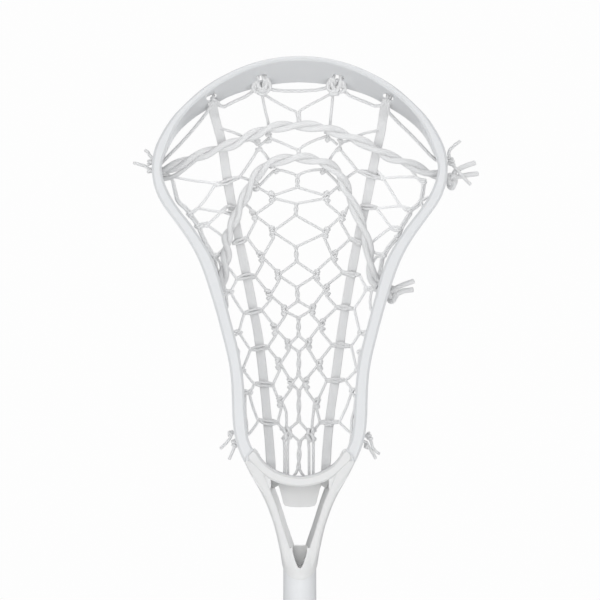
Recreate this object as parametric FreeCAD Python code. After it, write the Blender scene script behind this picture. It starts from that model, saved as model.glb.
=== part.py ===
import FreeCAD, Part
import math
import os

# Women's-pattern lacrosse stick, millimetres: head, throat, handle, end cap and strings.
# +Z runs up the handle to the scoop, the open face of the head looks towards -Y,
# +X is to the right when the open face is looked at.
# The origin is the middle of the flat butt of the end cap.

V = FreeCAD.Vector
ORIGIN, X_AXIS, Y_AXIS, Z_AXIS = V(0, 0, 0), V(1, 0, 0), V(0, 1, 0), V(0, 0, 1)
os.makedirs("parts", exist_ok=True)

# ---------------------------------------------------------------- sizes shared by several pieces
SEAM_Z = 774.1            # lowest point of the joint between throat and handle
SEAM_R = 10.9             # radius of the curved joint line, seen from the front
SEAM_CENTRE_Z = SEAM_Z + SEAM_R
SEAM_REACH = 20.0         # half size of the tools that cut the joint
NECK_R = 10.0             # outside of the handle tube at the throat
SCREW_Z = 752.0           # head screw, in from the back
SCREW_SHANK_R = 1.75
SCREW_HEAD_R = 3.6
SCREW_HEAD_Y = 10.5       # outer face of the screw head
SCREW_HEAD_DEPTH = 2.0
SCREW_LENGTH = 13.0
RAIL_FRONT_Y = -13.6      # ball stop rail, front and back faces
RAIL_BACK_Y = 6.4


# ---------------------------------------------------------------- helpers
def polygon(points):
    """Closed polygon through (x, y, z) points or vectors."""
    points = [V(*p) for p in points]
    return Part.makePolygon(points + [points[0]])


def loft(sections):
    return Part.makeLoft(sections, True, False)


def chamfered(corners, cut):
    """Closed section through four corners with each corner cut off."""
    corners = [V(*p) for p in corners]
    points = []
    for i, corner in enumerate(corners):
        for other in (corners[i - 1], corners[(i + 1) % 4]):
            side = other - corner
            length = min(cut, side.Length * 0.3)
            points.append(corner + side.normalize() * length)
    return polygon(points)


def rounded(corners, cuts, steps=4):
    """Closed section through four corners; cuts are each corner's lengths before and after."""
    corners = [V(*p) for p in corners]
    points = []
    for i, corner in enumerate(corners):
        before, after = corners[i - 1], corners[(i + 1) % 4]
        start = corner + (before - corner).normalize() * cuts[i][0]
        end = corner + (after - corner).normalize() * cuts[i][1]
        for k in range(steps + 1):
            t = k / steps
            points.append(start * (1 - t) ** 2 + corner * (2 * t * (1 - t)) + end * t ** 2)
    return polygon(points)


def oval(z, half_x, half_y, power, count=28):
    """Smooth closed section: an ellipse that squares up as power rises."""
    points = []
    for i in range(count):
        angle = 2 * math.pi * i / count
        c, s = math.cos(angle), math.sin(angle)
        points.append(V(half_x * math.copysign(abs(c) ** (2 / power), c),
                        half_y * math.copysign(abs(s) ** (2 / power), s), z))
    curve = Part.BSplineCurve()
    curve.interpolate(points, PeriodicFlag=True)
    return Part.Wire([curve.toShape()])


def box(x0, x1, y0, y1, z0, z1):
    return Part.makeBox(x1 - x0, y1 - y0, z1 - z0, V(x0, y0, z0))


def y_cylinder(radius, length, y, z):
    """Cylinder on the stick's centre plane, running backwards from y."""
    return Part.makeCylinder(radius, length, V(0, y, z), Y_AXIS)


def mirror(shape):
    return shape.mirror(ORIGIN, X_AXIS)


def slab(outline, y0, y1):
    """Outline in the X-Z plane given thickness from y0 to y1."""
    return Part.Face(polygon([(x, y0, z) for x, z in outline])).extrude(V(0, y1 - y0, 0))


def biggest(shape):
    return max(shape.Solids, key=lambda s: s.Volume)


def save(name, shape):
    if len(shape.Solids) == 1:
        shape = shape.Solids[0]
    # heals a shape that the booleans or lofts left invalid
    if not shape.isValid():
        shape.fix(0.01, 0.01, 0.01)
    shape.exportStep("parts/" + name + ".step")


# ---------------------------------------------------------------- head ring
# Right half, from the throat up to the middle of the scoop:
# outer front edge (x, z), inner front edge (x, z), inner back edge (x, z), front y, back y
RING = [
    (30.1, 838.6, 24.0, 841.8, 24.4, 840.1, -13.0, 12.9),
    (35.0, 848.4, 27.2, 851.8, 27.7, 850.1, -13.1, 15.5),
    (38.7, 858.7, 31.1, 860.6, 31.8, 858.9, -13.2, 18.5),
    (40.4, 869.6, 32.3, 870.2, 33.1, 868.5, -13.4, 21.0),
    (40.8, 880.5, 33.0, 880.8, 33.8, 879.3, -13.6, 22.8),
    (41.2, 891.5, 33.6, 891.9, 34.4, 890.7, -13.8, 23.4),
    (42.3, 902.4, 35.1, 903.6, 36.0, 902.6, -14.0, 23.9),
    (44.5, 913.2, 37.3, 914.9, 38.2, 914.2, -14.2, 24.0),
    (47.2, 923.8, 40.1, 925.7, 41.1, 925.3, -14.5, 23.8),
    (50.0, 934.4, 42.9, 936.4, 44.0, 936.3, -14.7, 23.4),
    (53.1, 944.9, 45.8, 947.2, 47.0, 947.3, -15.1, 22.9),
    (56.4, 955.4, 48.8, 957.9, 50.1, 958.3, -15.5, 22.1),
    (60.2, 965.6, 52.9, 968.8, 54.2, 969.5, -16.1, 20.9),
    (65.1, 975.4, 58.9, 979.1, 60.3, 979.9, -16.7, 19.7),
    (71.1, 984.6, 65.4, 988.6, 66.9, 989.7, -17.3, 18.3),
    (77.5, 993.4, 72.2, 997.3, 73.9, 998.6, -18.1, 16.8),
    (83.7, 1002.4, 77.7, 1005.8, 79.4, 1007.2, -18.9, 15.1),
    (87.6, 1012.4, 81.2, 1013.9, 83.0, 1015.5, -20.0, 13.0),
    (88.6, 1023.2, 82.6, 1023.0, 84.4, 1024.7, -21.5, 10.4),
    (86.7, 1033.8, 80.2, 1031.7, 81.0, 1033.3, -23.3, 7.7),
    (82.0, 1043.5, 76.7, 1040.7, 76.4, 1041.6, -25.4, 5.2),
    (75.9, 1052.5, 72.1, 1049.3, 70.2, 1048.5, -27.5, 2.7),
    (68.3, 1060.2, 65.5, 1057.4, 61.9, 1054.9, -29.1, 0.5),
    (60.4, 1067.5, 57.8, 1064.4, 53.2, 1059.9, -30.5, -1.7),
    (51.4, 1073.6, 49.4, 1070.3, 45.5, 1064.6, -31.5, -3.3),
    (41.8, 1078.7, 40.3, 1075.6, 36.3, 1068.2, -32.4, -4.2),
    (31.9, 1082.9, 30.8, 1080.0, 26.9, 1070.8, -33.1, -4.9),
    (21.5, 1085.9, 20.8, 1083.2, 18.2, 1072.7, -33.6, -5.5),
    (10.8, 1087.7, 10.5, 1085.1, 9.0, 1073.8, -33.9, -5.8),
    (0.0, 1088.4, 0.0, 1085.6, 0.0, 1074.2, -34.0, -6.0),
]
RING_END_Z = 846.1        # the ring's lower ends stop just above the top of the legs
WALL_OVERRUN = 5.0        # how far the sidewall tools stick out of the wall

# sidewall openings: first and last station, as fractional rows of RING
WINDOWS = [(4.2, 7.6), (8.4, 12.2), (13.2, 16.6)]
WINDOW_FROM, WINDOW_TO = 0.30, 0.66   # shares of the wall's depth, from the front
WINDOW_SHUT = [0.42, 0.12, 0.0, 0.0, 0.0, 0.12, 0.42]   # narrowing along the opening

# string holes, as fractional rows of RING
HOLE_STATIONS = (3.2, 4.4, 6.2, 7.9, 9.3, 11.6, 13.4, 15.6, 17.3, 18.6)
SHOOTER_STATIONS = (11.6, 18.6)       # the wider holes among them
HOLE_R = 1.6
SHOOTER_HOLE_R = 2.4
HOLE_FROM_BACK = 4.6
HOLE_LENGTH = 22.0

# lacing slots in the scoop: centre x and z, direction along x and z
SLOTS = [
    (-53.2, 1065.2, 0.89, 0.45), (-23.1, 1076.7, 0.97, 0.24),
    (23.1, 1076.7, 0.97, -0.24), (53.2, 1065.2, 0.89, -0.45),
]
SLOT_LENGTH = 6.8
SLOT_HEIGHT = 2.7
SLOT_HALF_DEPTH = 18.0
SLOT_Y = -14.5

# notch round the end of the ball stop rail, right side (x, z)
RAIL_NOTCH = [(22.0, 840.0), (33.4, 840.0), (32.6, 848.4), (31.6, 850.2), (30.0, 852.2),
              (28.0, 853.5), (22.0, 853.0)]


def wall_across(station):
    """Vector across the wall, from its inner to its outer front edge."""
    outer_x, outer_z, inner_x, inner_z = station[:4]
    return V(outer_x - inner_x, 0, outer_z - inner_z)


def ring_at(position):
    """Station interpolated at a fractional row of RING."""
    i = min(int(position), len(RING) - 2)
    share = position - i
    return [a * (1 - share) + b * share for a, b in zip(RING[i], RING[i + 1])]


def ring_section(station, sign):
    outer_x, outer_z, inner_x, inner_z, back_x, back_z, front_y, back_y = station
    across = wall_across(station)
    width = across.Length
    across.normalize()
    back_width = min(width, max(2.8, width * 0.95))
    corners = [(sign * outer_x, front_y, outer_z),
               (sign * inner_x, front_y, inner_z),
               (sign * back_x, back_y, back_z),
               (sign * (back_x + across.x * back_width), back_y, back_z + across.z * back_width)]
    return chamfered(corners, 0.9 if width < 4 else 1.4)


def window(first, last, sign):
    """Tool for an opening through one sidewall, narrower at both ends."""
    sections = []
    middle = (WINDOW_FROM + WINDOW_TO) / 2
    for k, shut in enumerate(WINDOW_SHUT):
        station = ring_at(first + (last - first) * k / (len(WINDOW_SHUT) - 1))
        outer_x, outer_z, inner_x, inner_z, _, _, front_y, back_y = station
        over = wall_across(station).normalize() * WALL_OVERRUN
        depth = back_y - front_y
        half = (WINDOW_TO - WINDOW_FROM) / 2 * (1 - shut)
        near_y = front_y + depth * (middle - half)
        far_y = front_y + depth * (middle + half)
        out_x, out_z = sign * (outer_x + over.x), outer_z + over.z
        in_x, in_z = sign * (inner_x - over.x), inner_z - over.z
        sections.append(polygon([(out_x, near_y, out_z), (in_x, near_y, in_z),
                                 (in_x, far_y, in_z), (out_x, far_y, out_z)]))
    return loft(sections)


def string_hole(position, sign):
    """Tool for a hole across the back rail of one sidewall."""
    station = ring_at(position)
    back_x, back_z, _, back_y = station[4:]
    across = wall_across(station).normalize()
    base = V(sign * (back_x - across.x * WALL_OVERRUN), back_y - HOLE_FROM_BACK,
             back_z - across.z * WALL_OVERRUN)
    radius = SHOOTER_HOLE_R if position in SHOOTER_STATIONS else HOLE_R
    return Part.makeCylinder(radius, HOLE_LENGTH, base, V(sign * across.x, 0, across.z))


def lacing_slot(x, z, along_x, along_z):
    """Round-ended tool that runs front to back through the scoop."""
    slot = box(-SLOT_LENGTH / 2, SLOT_LENGTH / 2, -SLOT_HALF_DEPTH, SLOT_HALF_DEPTH,
               -SLOT_HEIGHT / 2, SLOT_HEIGHT / 2)
    long_edges = [e for e in slot.Edges
                  if abs(e.BoundBox.YLength - 2 * SLOT_HALF_DEPTH) < 0.01]
    slot = slot.makeFillet(SLOT_HEIGHT * 0.46, long_edges)
    slot.rotate(ORIGIN, Y_AXIS, -math.degrees(math.atan2(along_z, along_x)))
    slot.translate(V(x, SLOT_Y, z))
    return slot


def head_frame():
    sections = [ring_section(s, 1) for s in RING]
    sections += [ring_section(s, -1) for s in reversed(RING[:-1])]
    ring = loft(sections)
    tools = [window(first, last, sign) for sign in (1, -1) for first, last in WINDOWS]
    tools += [string_hole(t, sign) for t in HOLE_STATIONS for sign in (1, -1)]
    tools += [lacing_slot(*slot) for slot in SLOTS]
    ring = ring.cut(Part.makeCompound(tools))
    ring = ring.cut(box(-60, 60, -40, 40, 820, RING_END_Z))
    notch = slab(RAIL_NOTCH, -20, RAIL_BACK_Y + 0.1)
    return biggest(ring.cut(notch).cut(mirror(notch)))


# ---------------------------------------------------------------- throat and ball stop
# Legs, right side, top to bottom:
# z, outer x, inner x at the front, inner x at the back, front y, back y
LEG = [
    (846.0, 33.7, 26.5, 26.5, -13.0, 14.2),
    (838.0, 29.8, 21.6, 20.6, -12.9, 13.2),
    (828.0, 24.2, 17.4, 15.0, -12.5, 12.4),
    (820.8, 20.6, 14.5, 12.4, -12.2, 12.0),
    (813.5, 17.8, 12.1, 10.0, -11.8, 11.8),
    (806.3, 15.4, 9.9, 7.7, -11.5, 11.4),
    (799.0, 13.6, 7.6, 5.2, -11.2, 11.1),
    (791.0, 11.9, 5.0, 2.6, -10.7, 10.6),
    (780.0, 8.8, 3.0, 1.0, -8.6, 8.6),
]
# Neck: z, half width x, half depth y, squareness (2 is round)
NECK = [
    (798.0, 13.3, 11.1, 4.6),
    (792.0, 12.1, 10.9, 4.2),
    (786.0, 11.2, 10.6, 3.4),
    (780.0, 10.5, 10.3, 2.6),
    (772.0, NECK_R, NECK_R, 2.0),
]
# Ball stop rail, right half: x and z of its upper edge, x and z of its lower edge
RAIL = [
    (0.0, 836.3, 0.0, 830.6),
    (7.4, 837.3, 8.6, 831.6),
    (14.9, 840.2, 16.8, 834.5),
    (20.9, 844.5, 24.4, 840.0),
    (24.2, 848.6, 28.6, 844.0),
    (26.4, 851.9, 31.1, 847.0),
    (27.6, 852.7, 31.2, 849.0),
]
RAIL_SPAN = [(s, 1) for s in reversed(RAIL)] + [(s, -1) for s in RAIL[1:]]
PAD_SPAN = RAIL_SPAN[2:-2]
RAIL_LIP = 2.6            # front lip that hides the foam pad
PAD_THICK = 3.0
SPIGOT_R = 7.95
SPIGOT_BOTTOM_Z = 719.0
SPIGOT_TOP_Z = 792.0

# outlines (x, z)
WEB = [(-20.5, 836.5), (-16.0, 833.5), (-8.0, 831.5), (0.0, 830.8), (8.0, 831.5),
       (16.0, 833.5), (20.5, 836.5), (17.5, 829.5), (15.6, 828.6), (13.0, 830.2),
       (12.0, 827.5), (-12.0, 827.5), (-13.0, 830.2), (-15.6, 828.6), (-17.5, 829.5)]
TONGUE = [(-12.8, 831.5), (12.8, 831.5), (11.9, 827.0), (10.0, 819.6), (8.9, 817.9),
          (5.2, 817.3), (0.0, 817.1), (-5.2, 817.3), (-8.9, 817.9), (-10.0, 819.6),
          (-11.9, 827.0)]
GUSSET = [(-30.0, 846.0), (-24.4, 841.6), (-17.4, 836.4), (-17.4, 830.6), (-17.9, 828.6),
          (-22.6, 827.2), (-28.4, 835.8)]
WELL = [(-4.2, 795.0), (4.2, 795.0), (4.4, 791.5), (3.5, 787.8), (2.2, 784.0), (1.2, 781.8),
        (0.5, 781.2), (-0.5, 781.2), (-1.2, 781.8), (-2.2, 784.0), (-3.5, 787.8), (-4.4, 791.5)]


def leg_section(k, station):
    """Section of the right leg; the outer corners get rounder down to the neck."""
    z, outer, inner_front, inner_back, front, back = station
    across = min(1.6 + 0.7 * k, 3.0) if outer - inner_front > 6.4 else 2.6
    along = min(1.6 + 1.4 * k, 5.0)
    corners = [(outer, front, z), (inner_front, front, z), (inner_back, back, z), (outer, back, z)]
    return rounded(corners, [(along, across), (1.2, 1.0), (1.4, 1.2), (across, along)])


def rail_corners(sign, first, second, front, back):
    """Front-to-back rectangle between two (x, z) points."""
    (x1, z1), (x2, z2) = first, second
    return [(sign * x1, front, z1), (sign * x1, back, z1),
            (sign * x2, back, z2), (sign * x2, front, z2)]


def pad_corners(station, sign, low, high, front, back):
    """Rectangle between two heights measured from the rail's upper edge."""
    top_x, top_z, bottom_x, bottom_z = station
    up = V(top_x - bottom_x, 0, top_z - bottom_z).normalize()
    return rail_corners(sign, (top_x + up.x * low, top_z + up.z * low),
                        (top_x + up.x * high, top_z + up.z * high), front, back)


def ball_stop_rail():
    return loft([chamfered(rail_corners(sign, s[:2], s[2:], RAIL_FRONT_Y, RAIL_BACK_Y), 1.1)
                 for s, sign in RAIL_SPAN])


def pad_bed():
    """Recess for the pad behind the lip, open upwards and to the back."""
    return loft([polygon(pad_corners(s, sign, -PAD_THICK, 3.0,
                                     RAIL_FRONT_Y + RAIL_LIP, RAIL_BACK_Y + 4))
                 for s, sign in PAD_SPAN])


def ball_stop_pad(throat):
    pad = loft([chamfered(pad_corners(s, sign, 0.05 - PAD_THICK, -0.4,
                                      RAIL_FRONT_Y + RAIL_LIP + 0.1, RAIL_BACK_Y - 0.3), 0.5)
                for s, sign in PAD_SPAN])
    return pad.cut(throat)


def throat_yoke():
    leg = loft([leg_section(k, station) for k, station in enumerate(LEG)])
    # the top of the neck is cleared between the legs
    neck = loft([oval(*s) for s in NECK]).cut(box(-9, 9, -14, 14, 793.4, 800))
    web = slab(WEB, 2.6, RAIL_BACK_Y)
    tongue = slab(TONGUE, 0.4, 5.4)
    # shoulders that fill the corner between the rail and each leg
    gusset = slab(GUSSET, -12.3, RAIL_BACK_Y - 0.3)
    body = leg.multiFuse([mirror(leg), neck, ball_stop_rail(), web, tongue,
                          gusset, mirror(gusset)])
    body = body.cut(pad_bed())
    below_seam = box(-SEAM_REACH, SEAM_REACH, -SEAM_REACH, SEAM_REACH, 740, SEAM_CENTRE_Z)
    below_seam = below_seam.cut(y_cylinder(SEAM_R, 2 * SEAM_REACH, -SEAM_REACH, SEAM_CENTRE_Z))
    body = biggest(body.cut(below_seam))
    body = body.fuse(Part.makeCylinder(SPIGOT_R, SPIGOT_TOP_Z - SPIGOT_BOTTOM_Z,
                                       V(0, 0, SPIGOT_BOTTOM_Z)))
    # well where the legs meet, open to the front
    body = body.cut(slab(WELL, -14.0, 5.4))
    # pilot hole, a little deeper than the screw's tip
    pilot_y = SCREW_HEAD_Y - SCREW_LENGTH - 0.3
    return biggest(body.cut(y_cylinder(SCREW_SHANK_R + 0.05, 16, pilot_y, SCREW_Z)))


# ---------------------------------------------------------------- handle, cap, screw
GRIP_R = 12.2             # rounded corners of the handle's octagon
GRIP_FLATS = 23.0         # across the flats of the octagon
TAPER_START_Z = 640.0     # the tube slims from here up to the neck
TAPER_END_Z = 768.0
TUBE_TOP_Z = 786.0        # before the curved joint is cut
BORE_R = 9.7              # inside of the tube, lower part
SOCKET_R = 8.1            # inside of the tube where the throat's spigot sits
SOCKET_BOTTOM_Z = 712.0
SOCKET_CONE = 20.0        # height over which the bore narrows to the socket
CAP_R = 13.6              # end cap barrel
CAP_HEIGHT = 34.0
CAP_FLOOR = 5.0
HANDLE_BOTTOM_Z = CAP_FLOOR   # the tube stands on the inside of the cap's floor


def octagon(z0, z1):
    """Octagonal bar with a flat facing each axis."""
    radius = GRIP_FLATS / 2 / math.cos(math.pi / 8)
    angles = [math.pi / 8 + i * math.pi / 4 for i in range(8)]
    outline = polygon([(radius * math.cos(a), radius * math.sin(a), z0) for a in angles])
    return Part.Face(outline).extrude(V(0, 0, z1 - z0))


def turned_grip():
    """Solid of revolution, straight below and slimming to the neck."""
    bottom_axis, bottom = V(0, 0, HANDLE_BOTTOM_Z), V(GRIP_R, 0, HANDLE_BOTTOM_Z)
    taper_start, taper_end = V(GRIP_R, 0, TAPER_START_Z), V(NECK_R, 0, TAPER_END_Z)
    top, top_axis = V(NECK_R, 0, TUBE_TOP_Z), V(0, 0, TUBE_TOP_Z)
    taper = Part.BSplineCurve()
    taper.interpolate([taper_start, V(11.55, 0, 690), V(10.55, 0, 735), taper_end],
                      InitialTangent=Z_AXIS, FinalTangent=Z_AXIS)
    edges = [
        Part.makeLine(bottom_axis, bottom),
        Part.makeLine(bottom, taper_start),
        taper.toShape(),
        Part.makeLine(taper_end, top),
        Part.makeLine(top, top_axis),
        Part.makeLine(top_axis, bottom_axis),
    ]
    return Part.Face(Part.Wire(edges)).revolve(ORIGIN, Z_AXIS, 360)


def screw_cone(head_radius, shank_radius):
    """Countersunk head of the screw, or the seat for it."""
    return Part.makeCone(shank_radius, head_radius, SCREW_HEAD_DEPTH,
                         V(0, SCREW_HEAD_Y - SCREW_HEAD_DEPTH, SCREW_Z), Y_AXIS)


def handle():
    tube = turned_grip().common(octagon(0, 800))
    cone_z = SOCKET_BOTTOM_Z - SOCKET_CONE
    bore = Part.makeCylinder(BORE_R, cone_z, ORIGIN)
    bore = bore.fuse(Part.makeCone(BORE_R, SOCKET_R, SOCKET_CONE, V(0, 0, cone_z)))
    bore = bore.fuse(Part.makeCylinder(SOCKET_R, 90, V(0, 0, SOCKET_BOTTOM_Z)))
    tube = tube.cut(bore)
    # curved joint with a hairline gap to the throat, and everything above it
    tube = tube.cut(y_cylinder(SEAM_R + 0.05, 2 * SEAM_REACH, -SEAM_REACH, SEAM_CENTRE_Z))
    tube = tube.cut(box(-SEAM_REACH, SEAM_REACH, -SEAM_REACH, SEAM_REACH, SEAM_CENTRE_Z, 820))
    # countersunk screw hole in the back wall
    shank_hole_r, head_hole_r = SCREW_SHANK_R + 0.2, SCREW_HEAD_R + 0.1
    tube = tube.cut(y_cylinder(shank_hole_r, 14, 4, SCREW_Z))
    tube = tube.cut(screw_cone(head_hole_r, shank_hole_r))
    tube = tube.cut(y_cylinder(head_hole_r, 5, SCREW_HEAD_Y, SCREW_Z))
    return biggest(tube)


def head_screw():
    screw = y_cylinder(SCREW_SHANK_R, SCREW_LENGTH - SCREW_HEAD_DEPTH,
                       SCREW_HEAD_Y - SCREW_LENGTH, SCREW_Z)
    screw = screw.fuse(screw_cone(SCREW_HEAD_R, SCREW_SHANK_R))
    # cross recess
    long, narrow = 2.0, 0.5
    y0, y1 = SCREW_HEAD_Y - 1.3, SCREW_HEAD_Y + 1
    cross = box(-narrow, narrow, y0, y1, SCREW_Z - long, SCREW_Z + long)
    cross = cross.fuse(box(-long, long, y0, y1, SCREW_Z - narrow, SCREW_Z + narrow))
    return screw.cut(cross)


def end_cap():
    cap = Part.makeCylinder(CAP_R, CAP_HEIGHT, ORIGIN)
    butt_edges = [e for e in cap.Edges
                  if e.Curve.TypeId == "Part::GeomCircle" and e.BoundBox.ZMax < 1]
    cap = cap.makeFillet(1.2, butt_edges)
    cavity = Part.makeCylinder(GRIP_R, CAP_HEIGHT, V(0, 0, CAP_FLOOR)).common(octagon(0, 60))
    return cap.cut(cavity)


# ---------------------------------------------------------------- strings
RUNNER_WIDTH = 5.3
RUNNER_THICK = 2.0
CORD_R = 0.85             # cross-lacing and sidewall cord
KNOT_R = 1.45
TOP_CORD_R = 0.95
SHOOTER_R = 2.1           # shooting strings
CORD_SWELL = 1.03         # corner radius of a faceted cord, over its nominal radius
BEAD_SWELL = 1.08         # the same for a faceted bead
BEND_SWELL = 1.12         # bead at a bend, over the cord's radius

# runners: centre line of each flat band (x, y, z), scoop to ball stop
RUNNER_LEFT_PATH = [
    (-50.3, 4.3, 1049.6), (-49.3, 6.1, 1045.7), (-47.8, 8.6, 1040.1), (-46.5, 12.3, 1031.8),
    (-45.3, 16.1, 1022.8), (-44.0, 19.6, 1013.7), (-42.4, 22.8, 1004.6), (-40.6, 24.7, 996.1),
    (-37.3, 26.8, 979.5), (-33.6, 28.8, 961.6), (-30.8, 30.0, 948.0), (-28.4, 30.5, 935.1),
    (-25.7, 30.8, 920.7), (-22.6, 29.6, 895.6), (-20.3, 25.1, 872.1), (-18.8, 19.0, 856.9),
    (-18.0, 14.3, 847.4),
]
RUNNER_RIGHT_PATH = [
    (50.2, 4.0, 1050.2), (49.4, 6.1, 1045.7), (48.4, 8.3, 1040.7), (46.5, 12.3, 1031.8),
    (44.7, 16.2, 1022.8), (43.0, 19.8, 1013.7), (41.3, 23.0, 1004.6), (39.2, 25.1, 995.5),
    (35.7, 27.3, 979.5), (32.3, 29.3, 961.6), (29.9, 30.4, 948.0), (27.7, 30.8, 935.1),
    (25.5, 30.9, 920.7), (22.2, 29.8, 895.6), (18.8, 25.7, 872.1), (17.1, 19.4, 856.9),
    (16.5, 14.2, 846.8),
]
# strings along the scoop and across the upper pocket (x, y, z), left to right
TOP_STRING_PATH = [
    (-77.5, 4.2, 1032.9), (-72.9, 3.4, 1037.2), (-66.8, 1.9, 1043.6), (-60.6, -0.3, 1050.5),
    (-55.7, -1.9, 1055.2), (-50.2, -3.1, 1058.7), (-46.5, -3.1, 1059.5), (-39.2, -4.3, 1062.9),
    (-33.2, -5.1, 1065.1), (-27.1, -6.1, 1067.3), (-22.9, -6.3, 1067.9), (-19.2, -6.5, 1068.5),
    (-12.0, -6.6, 1068.9), (0.1, -6.7, 1069.0), (12.2, -6.7, 1069.0), (21.3, -6.4, 1068.2),
    (27.4, -5.5, 1066.4), (33.4, -4.8, 1064.5), (39.5, -4.0, 1062.3), (45.6, -3.2, 1059.8),
    (49.8, -2.8, 1058.2), (53.5, -2.0, 1055.8), (60.9, 0.5, 1048.7), (67.0, 2.1, 1043.0),
    (73.2, 3.6, 1036.7), (77.5, 4.5, 1032.2),
]
SHOOTING_UPPER_PATH = [
    (-79.0, 3.2, 1023.1), (-74.1, 3.6, 1025.2), (-66.8, 3.5, 1028.8), (-60.7, 3.5, 1031.2),
    (-54.6, 3.5, 1033.4), (-48.6, 3.3, 1035.5), (-42.5, 3.1, 1037.3), (-36.4, 2.6, 1039.7),
    (-30.3, 1.7, 1042.7), (-24.2, 1.0, 1045.1), (-18.1, 0.2, 1047.3), (-12.0, -0.1, 1048.3),
    (-6.0, -0.1, 1048.6), (0.1, -0.1, 1048.7), (6.2, -0.1, 1048.6), (12.3, 0.1, 1047.9),
    (18.3, 0.6, 1046.5), (24.4, 1.2, 1044.5), (30.5, 2.0, 1042.2), (36.6, 2.7, 1039.6),
    (42.7, 3.4, 1036.7), (48.8, 4.2, 1033.2), (54.9, 4.7, 1030.3), (61.0, 4.8, 1027.9),
    (67.1, 4.7, 1025.6), (73.2, 4.5, 1022.8), (78.7, 4.0, 1020.2),
]
SHOOTING_LOWER_PATH = [
    (-46.4, 15.8, 957.4), (-45.7, 16.4, 964.7), (-45.1, 16.8, 970.6), (-45.0, 17.1, 976.2),
    (-44.5, 17.3, 981.1), (-42.7, 17.8, 986.6), (-39.6, 18.0, 993.4), (-36.7, 17.7, 999.8),
    (-33.2, 16.2, 1007.4), (-29.7, 14.1, 1014.1), (-25.3, 11.7, 1020.7), (-19.4, 9.9, 1025.8),
    (-12.1, 9.0, 1028.4), (-2.9, 8.7, 1029.6), (5.0, 8.8, 1029.3), (12.3, 9.4, 1027.6),
    (19.1, 10.4, 1024.6), (24.3, 12.1, 1019.8), (27.7, 14.5, 1013.5), (30.5, 16.7, 1006.8),
    (33.6, 18.1, 1000.1), (37.2, 18.7, 992.2), (39.6, 18.7, 985.4), (41.3, 18.4, 979.3),
    (42.5, 17.9, 973.1), (43.2, 17.6, 966.3), (43.7, 17.3, 959.6),
]
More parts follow.
